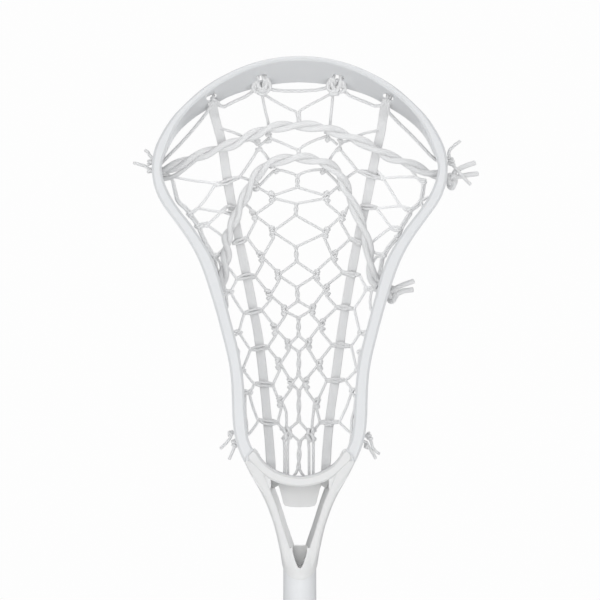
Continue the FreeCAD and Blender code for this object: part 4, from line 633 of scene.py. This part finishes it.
class Piece:
    """Gathers the tubes and bands of one visible piece, then makes its mesh."""

    def __init__(self, name):
        self.name = name
        self.vertices = []
        self.faces = []
        self.uvs = []
        self.count = 0

    def skin(self, rings, around, along):
        """Quads between rings of points, fans on the ends; around and along are the UVs."""
        ring_count, sides = rings.shape[:2]
        self.vertices.append(rings.reshape(-1, 3))
        base = self.count
        for i in range(ring_count - 1):
            low, high = base + i * sides, base + (i + 1) * sides
            for j in range(sides):
                after = (j + 1) % sides
                self.faces.append((low + j, low + after, high + after, high + j))
                self.uvs += [(around[j], along[i]), (around[j + 1], along[i]),
                             (around[j + 1], along[i + 1]), (around[j], along[i + 1])]
        self.count += ring_count * sides
        for i in (0, ring_count - 1):
            self.vertices.append(rings[i].mean(0)[None, :])
            centre = self.count
            self.count += 1
            for j in range(sides):
                a = base + i * sides + j
                b = base + i * sides + (j + 1) % sides
                self.faces.append((centre, b, a) if i == 0 else (centre, a, b))
                self.uvs += [(around[j], along[i])] * 3

    def tube(self, line, radius, sides=10, wobble=0.0):
        """Round cord with domed ends along a finished line."""
        tangent, side, up = carried_frames(line)
        distance = travelled(line)
        radii = np.full(len(line), float(radius))
        if wobble:
            phase = rng.uniform(0, 6.28, 3)
            radii *= 1 + wobble * (0.5 * np.sin(distance / 3.1 + phase[0])
                                   + 0.5 * np.sin(distance / 7.3 + phase[1]))
        reach = TIP_REACH * radius
        line = np.vstack([line[0] - tangent[0] * reach[:, None], line,
                          line[-1] + tangent[-1] * reach[::-1, None]])
        side, up = (np.pad(v, ((2, 2), (0, 0)), mode="edge")[:, None, :] for v in (side, up))
        radii = np.r_[radii[0] * TIP_GIRTH, radii, radii[-1] * TIP_GIRTH[::-1]]
        distance = np.r_[-reach, distance, distance[-1] + reach[::-1]]
        angle = np.linspace(0, 2 * math.pi, sides + 1)[None, :-1, None]
        rings = line[:, None, :] + radii[:, None, None] * (
            np.cos(angle) * side + np.sin(angle) * up)
        shift = float(rng.uniform(0, 40))
        self.skin(rings, np.linspace(0, 1, sides + 1), (distance + shift) / (2 * math.pi * radius))

    def cord(self, points, radius, step=CORD_STEP, **shape):
        """Round cord pulled taut through the points."""
        self.tube(smooth(taut(points), step), radius, **shape)

    def band(self, points, twist):
        """Flat woven runner: rounded edges, a thin bead along each, a slight wavy twist."""
        line = smooth(points, BAND_STEP)
        side, up = facing_frames(line)
        distance = travelled(line)
        angle = twist * (np.sin(distance / 31.0 + 0.6) + 0.5 * np.sin(distance / 13.0 + 1.9))
        cos, sin = np.cos(angle)[:, None], np.sin(angle)[:, None]
        side, up = side * cos + up * sin, up * cos - side * sin
        face = BAND_FACE * [RUNNER_WIDTH / 2, RUNNER_THICK / 2]
        section = np.vstack([face, -face])
        swell = 1 + 0.02 * np.sin(distance / 9.0 + 1.0) + 0.015 * np.sin(distance / 4.1)
        across = section[:, 0][None, :, None] * swell[:, None, None]
        rings = (line[:, None, :] + across * side[:, None, :]
                 + section[:, 1][None, :, None] * up[:, None, :])
        around = travelled(np.vstack([section, section[:1]]))
        self.skin(rings, around / around[-1], distance / around[-1])

    def make(self, material, slot):
        mesh = bpy.data.meshes.new(self.name)
        mesh.from_pydata((np.vstack(self.vertices) * MM).tolist(), [], self.faces)
        layer = mesh.uv_layers.new(name="cord")
        layer.data.foreach_set("uv", np.array(self.uvs, np.float32).ravel())
        mesh.polygons.foreach_set("use_smooth", [True] * len(mesh.polygons))
        mesh.update()
        mesh.validate()
        obj = bpy.data.objects.new(self.name, mesh)
        bpy.context.scene.collection.objects.link(obj)
        mesh.materials.append(material)
        return obj


# ---------------------------------------------------------------- knots and twists
def coil(top, bottom, wide, deep, turns, sign, start, lead):
    """Turns of cord wound round the line from top to bottom.

    wide and deep are its radii across and front to back; sign is the direction along X of the
    pocket's middle; start is the first angle, 0 being that direction; lead is the share of the
    length it overshoots at each end.
    """
    span = bottom - top
    length = np.linalg.norm(span)
    axis = span / length
    front = np.array([0.0, -1.0, 0.0])
    front = unit(front - axis * (front @ axis))
    side = np.cross(axis, front)
    side = side * (math.copysign(1.0, side[0]) * sign)
    t = np.linspace(0, 1, int(COIL_POINTS * turns))[:, None]
    angle = start + t * turns * 2 * math.pi
    along = (-lead + t * (1 + 2 * lead)) * length
    return top + axis * along + side * wide * np.cos(angle) - front * deep * np.sin(angle)


def passing(name, sign):
    """Where a cord is caught at the waist of a knot, on the pocket side."""
    waist = KNOTS[name].mean(0)
    return near(waist, sign, (1.85, 0.1, 1.15), (1.48, 0.08, 0), (1.85, 0.1, -1.15))


def wound(name, sign):
    """Where a cord winds round a knot, in at the top on the wall side."""
    return coil(*KNOTS[name], wide=1.12, deep=0.95, turns=2.3, sign=sign, start=math.pi,
                lead=0.28)


def twisted(ends, start):
    """One cord of a pair that makes a full turn round each other, from the angle start."""
    top, bottom = ends
    radius = 0.66
    t = np.linspace(0, 1, 28)
    angle = start + t * 2 * math.pi
    spread = radius * np.minimum(1, np.minimum(t, 1 - t) * 9 + 0.62)
    turn = np.c_[spread * np.cos(angle), spread * np.sin(angle) * 0.95, 0 * t]
    return top + (bottom - top) * t[:, None] + turn


def overhand(top, bottom, size):
    """A tight overhand knot, as a closed line."""
    t = np.linspace(0, 2 * math.pi, 120)
    swing = 3 * t + 0.4
    lobes = (1 + 0.42 * np.cos(swing)) / 1.42
    across = np.c_[1.3 * size * lobes * np.sin(2 * t), -size * np.sin(swing), 0 * t]
    return (top + bottom) / 2 + (bottom - top) / 2 * (lobes * np.cos(2 * t))[:, None] + across


# ---------------------------------------------------------------- cross-lacing
def centre_cord(index, letter, sign):
    """Zigzags between the twists in the middle and the inner knots, then goes behind the rail."""
    line = []
    for i, ends in enumerate(TWISTS):
        line.append(twisted(ends, start=math.pi if letter == "L" else 0.0))
        if i < 6:
            line.append(passing(letter + str(2 * i + 1), sign))
        elif i == 6:
            big_knot = BOTTOM_KNOT_TURNS[2 * index].mean(0)
            line.append(near(big_knot, sign, (1.6, 0.4, 0.6), (2.2, 0.3, -1.6)))
    return np.vstack(line + [TWIST_LEGS[index][1:]])


def middle_cord(index, letter, sign):
    """Wound at the inner knots, caught at the outer ones."""
    line = [(wound if row % 2 else passing)(letter + str(row), sign) for row in range(1, 13)]
    return np.vstack(line + [MIDDLE_TAILS[index][1:]])


def outer_cord(index, letter, sign):
    """Wound at the outer knots; goes twice round the runner after each of them."""
    line = [SHOULDER_LINKS[index][:-1]]
    for i, wrap in enumerate(RUNNER_WRAPS[letter]):
        outer, inner, upper, lower = wrap[0], wrap[1], wrap[2:4], wrap[4:6]
        behind = (outer + inner) / 2 + [0, 3.9, 0]
        line += [
            wound(letter + str(2 * i + 2), sign),
            near(inner, sign, (0, 0.2, 0.5)),
            upper[::-1],
            near(outer, sign, (0.4, 0.3, 0.3)),
            near(behind, sign, (-3.0, -0.6, 0.2), (0, 0.2, 0.7), (3.0, -0.6, 0.4)),
            near(inner, sign, (0.3, 0.9, 0.0), (-1.3, -0.5, -0.6)),
            lower[::-1],
            near(outer, sign, (0.5, 0.2, -0.4)),
            near(behind, sign, (-2.6, -0.5, -1.0), (2.6, -0.5, -0.8)),
            near(inner, sign, (0.1, 0.4, -0.8)),
        ]
    return np.vstack(line + [OUTER_TAILS[index]])


def knot_lobes(piece):
    """Every knot is drawn tight into two fat lobes, leaning by turns to either side."""
    for i, name in enumerate(sorted(KNOTS)):
        upper, lower = KNOTS[name]
        sign = inward(upper[0])
        half = unit(lower - upper) * 0.62
        for k, middle in enumerate((upper, lower)):
            lean = 1 if (i + k) % 2 else -1
            centre = middle + [-sign * 0.15 + 0.22 * lean, -0.15, 0]
            tilt = np.array([0.42 * lean * sign, 0.0, 0.0])
            turns = coil(centre - half - tilt, centre + half + tilt,
                         wide=1.16 if name.startswith("N") else 1.06, deep=0.95, turns=1.55,
                         sign=sign, start=0.9 + 2.1 * k, lead=0.0)
            piece.tube(turns, LOBE_RADIUS)


def crosslacing():
    piece = Piece("crosslace_cords")
    for index, (letter, sign) in enumerate((("L", 1.0), ("R", -1.0))):
        for cord_line in (centre_cord, middle_cord, outer_cord):
            piece.cord(cord_line(index, letter, sign), CORD_RADIUS)
    for row in UPPER_THREADS + RAIL_THREADS:
        piece.cord(row, CORD_RADIUS)
    for row in UPPER_WRAPS:
        piece.cord(row, WRAP_RADIUS)
    knot_lobes(piece)
    for start, end in BOTTOM_KNOT_TURNS:
        turns = coil(start, end, wide=1.85, deep=1.55, turns=1.9, sign=inward(start[0]),
                     start=2.2, lead=0.3)
        piece.tube(turns, BOTTOM_KNOT_RADIUS)
    return piece


# ---------------------------------------------------------------- sidewall strings
def side_piece(name, rows, knots):
    piece = Piece(name)
    for row in rows:
        piece.cord(row, SIDE_RADIUS)
    for start, end in knots:
        middle = (start + end) / 2
        half = unit(end - start) * 1.1
        turns = coil(middle - half, middle + half, wide=1.05, deep=1.05, turns=1.7,
                     sign=inward(middle[0]), start=1.1, lead=0.1)
        piece.tube(turns, SIDE_KNOT_RADIUS)
    return piece


def side_strings(label, sign, threads, doubles):
    """The sidewall string and the side lacing below it, on one side."""
    knots = [knot for knot in SIDE_KNOTS if inward(knot[0, 0]) == sign]
    high = [row for row in threads if row[:, 2].mean() > SIDE_SPLIT]
    low = [row for row in threads if row[:, 2].mean() <= SIDE_SPLIT]
    return (side_piece("sidewall_cord_" + label, high + doubles,
                       [knot for knot in knots if knot[0, 2] > SIDE_KNOT_SPLIT]),
            side_piece("side_lacing_cord_" + label, low,
                       [knot for knot in knots if knot[0, 2] <= SIDE_KNOT_SPLIT]))


# ---------------------------------------------------------------- scoop string, ropes, ties
def scoop_string():
    piece = Piece("scoop_lacing_cord")
    for row in TOP_STRING:
        piece.cord(row, TOP_RADIUS)
    # the knot lump under each middle slot
    for x in (-22.9, 20.9):
        lump = coil(np.array([x, -9.6, 1070.6]), np.array([x, -9.3, 1067.0]), wide=2.2, deep=1.5,
                    turns=2.1, sign=inward(x), start=0.5, lead=0.1)
        piece.tube(lump, SCOOP_LUMP_RADIUS)
    for i, row in enumerate(SCOOP_KNOTS):
        piece.cord(row, 1.3 if i % 4 < 2 else 1.1, sides=12, wobble=0.04)
    return piece


def rope(name, points, crossings):
    """Two soft cords twisted round each other; they cross at the given counts of points."""
    piece = Piece(name)
    line = smooth(points, ROPE_STEP)
    distance = travelled(line)
    stations = [distance[np.argmin(np.linalg.norm(line - point, axis=1))] for point in points]
    crossed = np.interp(crossings, range(len(points)), stations)
    # one more crossing beyond each end
    crossed = np.r_[2 * crossed[0] - crossed[1], crossed, 2 * crossed[-1] - crossed[-2]]
    phase = np.interp(distance, crossed, math.pi * (np.arange(len(crossed)) - 0.5))
    side, up = facing_frames(line)
    offset = STRAND_RADIUS * 0.93
    for start in (0, math.pi):
        angle = (phase + start)[:, None]
        path = line + side * offset * np.cos(angle) + up * offset * np.sin(angle)
        piece.tube(path, STRAND_RADIUS, sides=14, wobble=0.035)
    return piece


def runner(name, points, twist):
    piece = Piece(name)
    piece.band(points, twist)
    return piece


def tie(name, radius, turn_radius, tails, knots, overhand_knot):
    piece = Piece(name)
    for row in tails:
        piece.cord(row, radius, sides=12, wobble=0.03)
    for start, end in knots:
        if overhand_knot:
            piece.tube(overhand(start, end, turn_radius), radius, sides=14, wobble=0.04)
            continue
        turns = max(1.6, np.linalg.norm(end - start) / (2.1 * radius))
        wraps = coil(start, end, wide=turn_radius, deep=turn_radius, turns=turns, sign=1.0,
                     start=0.3, lead=0.0)
        piece.tube(wraps, radius * 0.98, sides=12)
    return piece


# Each tube draws from rng, so the pieces are built in this fixed order.
net = crosslacing()
side_left, lace_left = side_strings("left", 1.0, SIDE_THREADS_LEFT, SIDE_DOUBLE_LEFT)
side_right, lace_right = side_strings("right", -1.0, SIDE_THREADS_RIGHT, SIDE_DOUBLE_RIGHT)
scoop = scoop_string()
rope_upper = rope("shooting_cord_upper", SHOOTING_UPPER, UPPER_CROSSINGS)
rope_lower = rope("shooting_cord_lower", SHOOTING_LOWER, LOWER_CROSSINGS)
rope_upper.cord(SHOOTING_FORK, FORK_RADIUS, sides=14, wobble=0.04)
runner_left = runner("runner_band_left", RUNNER_LEFT, twist=0.05)
runner_right = runner("runner_band_right", RUNNER_RIGHT, twist=-0.05)
ties = []
for group, is_shooter in ((STRING_TIES_UPPER, False), (SHOOTER_TIES, True),
                          (STRING_TIES_LOWER, False)):
    for tie_name, tie_node, *shape in group:
        ties.append((tie(tie_name, *shape, overhand_knot=is_shooter), tie_node, is_shooter))


# ---------------------------------------------------------------- materials
MIDTONES = (0.3, 0.7)     # range that most of a noise texture's values fall in


class Surface:
    """A material with a Principled shader, and short ways to wire nodes into it."""

    def __init__(self, name):
        self.material = bpy.data.materials.new(name)
        self.material.use_nodes = True
        self.tree = self.material.node_tree
        self.tree.nodes.clear()
        output = self.add("ShaderNodeOutputMaterial")
        self.shader = self.add("ShaderNodeBsdfPrincipled")
        self.tree.links.new(self.shader.outputs["BSDF"], output.inputs["Surface"])

    def add(self, kind, inputs=None, **properties):
        node = self.tree.nodes.new(kind)
        for key, value in properties.items():
            setattr(node, key, value)
        self.feed(node, inputs or {})
        return node

    def feed(self, node, inputs):
        """Links or sets the inputs, by name or number."""
        for key, value in inputs.items():
            if isinstance(value, bpy.types.NodeSocket):
                self.tree.links.new(value, node.inputs[key])
            else:
                node.inputs[key].default_value = value

    def finish(self, inputs):
        self.feed(self.shader, inputs)
        return self.material

    def position(self):
        return self.add("ShaderNodeTexCoord").outputs["Object"]

    def edges(self, end):
        """0 on flats, rising to 0.5 on edges."""
        sharpness = self.add("ShaderNodeNewGeometry").outputs["Pointiness"]
        return self.ramp(sharpness, (0.5, end), (0.0, 0.5))

    def cord_uv(self):
        """u once round the cord, v in turns of its girth along it."""
        uv = self.add("ShaderNodeUVMap", uv_map="cord").outputs["UV"]
        split = self.add("ShaderNodeSeparateXYZ", {0: uv})
        return split.outputs[0], split.outputs[1]

    def calc(self, operation, a, b=0.0):
        return self.add("ShaderNodeMath", {0: a, 1: b}, operation=operation).outputs[0]

    def ridges(self, value, count):
        """Rounded ridges, count of them for each unit of value."""
        wave = self.calc("SINE", self.calc("MULTIPLY", value, count * math.pi))
        return self.calc("ABSOLUTE", wave)

    def noise(self, vector, scale, detail=3.0, roughness=0.55):
        return self.add("ShaderNodeTexNoise", {
            "Vector": vector, "Scale": scale, "Detail": detail, "Roughness": roughness,
        }).outputs["Fac"]

    def ramp(self, value, source=MIDTONES, target=(0.0, 1.0)):
        return self.add("ShaderNodeMapRange", {
            "Value": value, "From Min": source[0], "From Max": source[1],
            "To Min": target[0], "To Max": target[1],
        }).outputs["Result"]

    def mix(self, factor, a, b):
        """Mix of two colours, each a socket or an RGB triple."""
        a, b = (c if isinstance(c, bpy.types.NodeSocket) else (*c, 1.0) for c in (a, b))
        return self.add("ShaderNodeMix", {0: factor, 6: a, 7: b}, data_type="RGBA").outputs[2]

    def bump(self, height, strength, distance, under=None):
        """Bumps, distance in metres, on top of the normal under them."""
        inputs = {"Strength": strength, "Distance": distance, "Height": height}
        if under is not None:
            inputs["Normal"] = under
        return self.add("ShaderNodeBump", inputs).outputs["Normal"]


def scaled(colour, factor):
    return tuple(min(1.0, c * factor) for c in colour)


def plastic(name, light, dark, roughness, grain_scale, grain_depth, scatter=0.0):
    """Moulded plastic: faint mottling, fine moulded grain, slightly lighter edges."""
    s = Surface(name)
    position = s.position()
    mottle = s.noise(position, scale=26.0, detail=4.0)
    grain = s.noise(position, scale=grain_scale, detail=2.0)
    # lighter towards sharp edges
    lighter_edges = s.edges(end=0.56)
    base = s.mix(s.ramp(mottle), light, dark)
    uneven = s.ramp(mottle, target=(roughness - 0.05, roughness + 0.05))
    under = s.bump(grain, strength=0.22, distance=grain_depth)
    inputs = {
        "Base Color": s.mix(lighter_edges, base, scaled(light, 1.05)),
        "Roughness": s.calc("ADD", uneven, s.ramp(grain, target=(-0.04, 0.04))),
        "Normal": s.bump(mottle, strength=0.12, distance=0.0004, under=under),
        "Specular IOR Level": 0.42,
    }
    if scatter:
        inputs.update({"Subsurface Weight": scatter, "Subsurface Scale": 1.0,
                       "Subsurface Radius": (0.004, 0.0035, 0.003)})
    return s.finish(inputs)


def braid(name, light, dark, strands, pitch, depth, fuzz=0.35):
    """Braided cord: two families of strands that cross over and under."""
    s = Surface(name)
    u, v = s.cord_uv()
    position = s.position()
    first, second = (
        s.calc(operation, s.calc("MULTIPLY", u, strands), s.calc("MULTIPLY", v, pitch))
        for operation in ("ADD", "SUBTRACT"))
    first_ridge, second_ridge = s.ridges(first, count=1), s.ridges(second, count=1)
    # which family is on top changes from cell to cell
    cell = s.calc("ADD", s.calc("FLOOR", first), s.calc("FLOOR", second))
    over = s.calc("GREATER_THAN", s.calc("MODULO", s.calc("ABSOLUTE", cell), 2.0), 0.5)
    strand = s.calc("ADD", s.calc("MULTIPLY", first_ridge, over),
                    s.calc("MULTIPLY", second_ridge, s.calc("SUBTRACT", 1.0, over)))
    fibre = s.noise(position, scale=5200.0, roughness=0.7)
    blot = s.noise(position, scale=140.0)
    height = s.calc("ADD", s.calc("MULTIPLY", strand, 0.75), s.calc("MULTIPLY", fibre, 0.35))
    # painted shade: strand crowns take the light colour and the grooves between strands the dark
    # one
    base = s.mix(s.ramp(strand, source=(0.0, 0.65)), dark, light)
    blotched = s.ramp(blot, source=(0.35, 0.7), target=(0.0, 0.22))
    return s.finish({
        "Base Color": s.mix(blotched, base, dark),
        "Roughness": s.ramp(fibre, target=(0.74, 0.90)),
        "Normal": s.bump(height, strength=0.7, distance=depth),
        "Specular IOR Level": 0.25,
        "Sheen Weight": fuzz,
        "Sheen Roughness": 0.5,
    })


def webbing(name, light, dark):
    """Runner band: lengthwise yarns with a fine cross weave."""
    s = Surface(name)
    u, v = s.cord_uv()
    position = s.position()
    drift = s.calc("MULTIPLY", s.noise(position, scale=160.0, detail=2.0), 0.02)
    yarn = s.ridges(s.calc("ADD", u, drift), count=28)
    pick = s.ridges(v, count=34)
    fibre = s.noise(position, scale=4200.0, roughness=0.7)
    # noise drawn out along Z
    stretch = s.add("ShaderNodeMapping", {"Scale": (900.0, 900.0, 60.0), "Vector": position})
    streaks = s.noise(stretch.outputs[0], scale=1.0)
    weave = s.calc("ADD", s.calc("MULTIPLY", yarn, 0.5), s.calc("MULTIPLY", pick, 0.22))
    height = s.calc("ADD", weave, s.calc("MULTIPLY", fibre, 0.3))
    # painted shade: yarn crowns lighter and the grooves between yarns darker; the streaks are a
    # random tone of the yarn
    tone = s.calc("ADD", s.calc("MULTIPLY", yarn, 0.5), s.calc("MULTIPLY", streaks, 0.6))
    return s.finish({
        "Base Color": s.mix(s.ramp(tone, source=(0.15, 0.8)), dark, light),
        "Roughness": s.ramp(fibre, target=(0.62, 0.8)),
        "Normal": s.bump(height, strength=0.55, distance=0.00018),
        "Specular IOR Level": 0.3,
        "Sheen Weight": 0.25,
    })


def rubber(name, colour):
    """Rubber with faint level ribs and lighter edges."""
    s = Surface(name)
    position = s.position()
    fine = s.noise(position, scale=1400.0, detail=2.0)
    mottle = s.noise(position, scale=60.0, detail=4.0)
    base = s.mix(s.ramp(mottle), colour, scaled(colour, 0.9))
    ribs = s.add("ShaderNodeTexWave", {"Vector": position, "Scale": 80.0},
                 wave_type="BANDS", bands_direction="Z")
    under = s.bump(fine, strength=0.3, distance=0.0001)
    return s.finish({
        "Base Color": s.mix(s.edges(end=0.57), base, scaled(colour, 1.1)),
        "Roughness": s.ramp(mottle, target=(0.6, 0.74)),
        "Normal": s.bump(ribs.outputs["Fac"], strength=0.35, distance=0.0003, under=under),
    })


def metal(name, light, dark):
    s = Surface(name)
    position = s.position()
    fine = s.noise(position, scale=2600.0, detail=2.0)
    return s.finish({
        "Base Color": s.mix(s.noise(position, scale=300.0), light, dark),
        "Metallic": 1.0,
        "Roughness": s.ramp(fine, target=(0.24, 0.42)),
        "Normal": s.bump(fine, strength=0.2, distance=0.00004),
    })


def foam(name, light, dark):
    s = Surface(name)
    position = s.position()
    cells = s.add("ShaderNodeTexVoronoi", {"Vector": position, "Scale": 1500.0})
    cell = cells.outputs["Distance"]
    return s.finish({
        "Base Color": s.mix(s.ramp(cell, source=(0.1, 0.7)), light, dark),
        "Roughness": s.ramp(s.noise(position, scale=200.0), target=(0.85, 0.95)),
        "Normal": s.bump(cell, strength=0.6, distance=0.0003),
    })


def paper(name, light, dark):
    s = Surface(name)
    tone = s.noise(s.position(), scale=3.0)
    return s.finish({"Base Color": s.mix(tone, light, dark), "Roughness": 0.9})


head_plastic = plastic(
    "head_plastic", light=(0.664, 0.671, 0.680), dark=(0.650, 0.658, 0.668),
    roughness=0.40, grain_scale=2100.0, grain_depth=0.00005, scatter=0.05)
throat_plastic = plastic(
    "throat_plastic", light=(0.672, 0.672, 0.669), dark=(0.659, 0.659, 0.657),
    roughness=0.36, grain_scale=2100.0, grain_depth=0.00005, scatter=0.05)
handle_composite = plastic(
    "handle_composite", light=(0.695, 0.702, 0.712), dark=(0.68, 0.687, 0.698),
    roughness=0.46, grain_scale=1500.0, grain_depth=0.00012)
lacing_cord = braid("cord", light=(0.80, 0.80, 0.80), dark=(0.60, 0.60, 0.605),
                    strands=4.0, pitch=1.6, depth=0.00022)
# lighter copy of the cord material: painted light that offsets the shade the sidewalls cast on the
# cords beside them
wall_cord_painted_light = braid("wall_cord_painted_light", light=(0.92, 0.92, 0.92), dark=(0.74, 0.74, 0.745),
                  strands=4.0, pitch=1.6, depth=0.00022)
shooter_cord = braid("shooter_cord", light=(0.80, 0.80, 0.80), dark=(0.64, 0.64, 0.645),
                     strands=8.0, pitch=4.0, depth=0.0002, fuzz=0.4)
runner_webbing = webbing("runner_webbing", light=(0.765, 0.765, 0.765),
                         dark=(0.67, 0.67, 0.675))
cap_rubber = rubber("cap_rubber", colour=(0.72, 0.73, 0.75))
screw_steel = metal("screw_steel", light=(0.62, 0.63, 0.65), dark=(0.45, 0.46, 0.48))
stop_foam = foam("stop_foam", light=(0.80, 0.80, 0.81), dark=(0.66, 0.66, 0.67))

for node_name, finish, slot_name in (
        ("head_frame", head_plastic, "head_plastic"),
        ("throat_yoke", throat_plastic, "throat_plastic"),
        ("handle", handle_composite, "handle_composite"),
        ("end_cap", cap_rubber, "cap_rubber"),
        ("head_screw", screw_steel, "screw_steel"),
        ("ball_stop_pad", stop_foam, "stop_foam")):
    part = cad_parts[node_name]
    part.data.materials.clear()
    part.data.materials.append(finish)


def in_pocket(piece, node, material, slot):
    obj = piece.make(material, slot)
    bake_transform(obj)
    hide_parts(node)


def on_head(piece, node, material, slot):
    obj = piece.make(material, slot)
    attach(obj, "head")
    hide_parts(node)


in_pocket(net, "crosslace_centre", lacing_cord, "cord")
in_pocket(side_left, "sidewall_string_left", wall_cord_painted_light, "cord")
in_pocket(side_right, "sidewall_string_right", wall_cord_painted_light, "cord")
in_pocket(lace_left, "side_lacing_left", wall_cord_painted_light, "cord")
in_pocket(lace_right, "side_lacing_right", wall_cord_painted_light, "cord")
on_head(scoop, "top_string", lacing_cord, "cord")
in_pocket(rope_upper, "shooting_string_upper", shooter_cord, "shooter_cord")
in_pocket(rope_lower, "shooting_string_lower", shooter_cord, "shooter_cord")
in_pocket(runner_left, "runner_left", runner_webbing, "runner_webbing")
in_pocket(runner_right, "runner_right", runner_webbing, "runner_webbing")
for tie_piece, tie_node, is_shooter in ties:
    if is_shooter:
        on_head(tie_piece, tie_node, shooter_cord, "shooter_cord")
    else:
        on_head(tie_piece, tie_node, lacing_cord, "cord")

# the rolled lip that closes the joint between each end of the ring and the end of the rail
for mirror, label in ((-1, "left"), (1, "right")):
    lip = Piece("ring_end_lip_" + label)
    lip.cord(RING_END_LIP * [mirror, 1, 1], LIP_RADIUS, step=LIP_STEP, sides=16)
    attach(lip.make(head_plastic, "head_plastic"), "head")

# ---------------------------------------------------------------- stage, light, camera
scene = bpy.context.scene


def floor(half_size, height):
    material = paper("floor_paper", light=(0.90, 0.90, 0.90), dark=(0.88, 0.88, 0.88))
    mesh = bpy.data.meshes.new("floor")
    corners = [(x * half_size, y * half_size, 0)
               for x, y in ((-1, -1), (1, -1), (1, 1), (-1, 1))]
    mesh.from_pydata(corners, [], [(0, 1, 2, 3)])
    obj = bpy.data.objects.new("floor", mesh)
    scene.collection.objects.link(obj)
    obj.location = (0, 0, height)
    mesh.materials.append(material)


def studio_world(seen_colour, light_colour, light_strength):
    """A near-white backdrop for the camera, and a dimmer, cooler light for everything else."""
    world = bpy.data.worlds.new("studio")
    scene.world = world
    world.use_nodes = True
    nodes, links = world.node_tree.nodes, world.node_tree.links
    nodes.clear()
    output = nodes.new("ShaderNodeOutputWorld")
    mix = nodes.new("ShaderNodeMixShader")
    path = nodes.new("ShaderNodeLightPath")
    links.new(path.outputs["Is Camera Ray"], mix.inputs[0])
    backgrounds = ((light_colour, light_strength), (seen_colour, 1.0))
    for i, (colour, strength) in enumerate(backgrounds, start=1):
        background = nodes.new("ShaderNodeBackground")
        background.inputs["Color"].default_value = (*colour, 1)
        background.inputs["Strength"].default_value = strength
        links.new(background.outputs[0], mix.inputs[i])
    links.new(mix.outputs[0], output.inputs[0])


def area_light(name, location, target, size, power):
    light = bpy.data.lights.new(name, "AREA")
    light.shape = "SQUARE"
    light.size = size
    light.energy = power
    obj = bpy.data.objects.new(name, light)
    scene.collection.objects.link(obj)
    obj.location = location
    aim = Vector(target) - Vector(location)
    obj.rotation_euler = aim.to_track_quat("-Z", "Y").to_euler()
    obj.visible_camera = False


floor(half_size=6.0, height=-0.0005)
studio_world(seen_colour=(0.985, 0.985, 0.985), light_colour=(0.96, 0.98, 1.0),
             light_strength=0.42)

# name, place, point aimed at, size, watts
for light_values in (
        ("key", (-0.55, -2.1, 2.2), (0, 0, 0.95), 1.5, 13.0),
        ("front", (0.1, -2.7, 1.05), (0, 0, 0.98), 1.8, 10.5),
        ("left", (-1.7, -1.3, 0.9), (0, 0, 0.9), 1.4, 6.5),
        ("fill", (1.7, -1.3, 1.0), (0, 0, 0.9), 1.4, 8.0),
        ("low", (-0.2, -1.7, 0.25), (0, 0, 1.0), 1.2, 7.4),
        ("top", (0.2, 0.4, 2.6), (0, 0, 0.9), 1.2, 12.0),
        ("back", (0.3, 2.0, 1.5), (0, 0, 0.7), 1.6, 12.0)):
    area_light(*light_values)

# the camera looks level along +Y at the open face
lens = bpy.data.cameras.new("camera")
lens.lens = 150.0
lens.sensor_width = 36.0
lens.clip_start = 0.05
lens.clip_end = 60.0
camera = bpy.data.objects.new("camera", lens)
scene.collection.objects.link(camera)
camera.location = (0.00012, -1.518, 0.943)
camera.rotation_euler = (math.pi / 2, 0, 0)
scene.camera = camera

scene.view_settings.view_transform = "Standard"
scene.view_settings.look = "None"
scene.view_settings.exposure = 0.0
scene.view_settings.gamma = 1.0
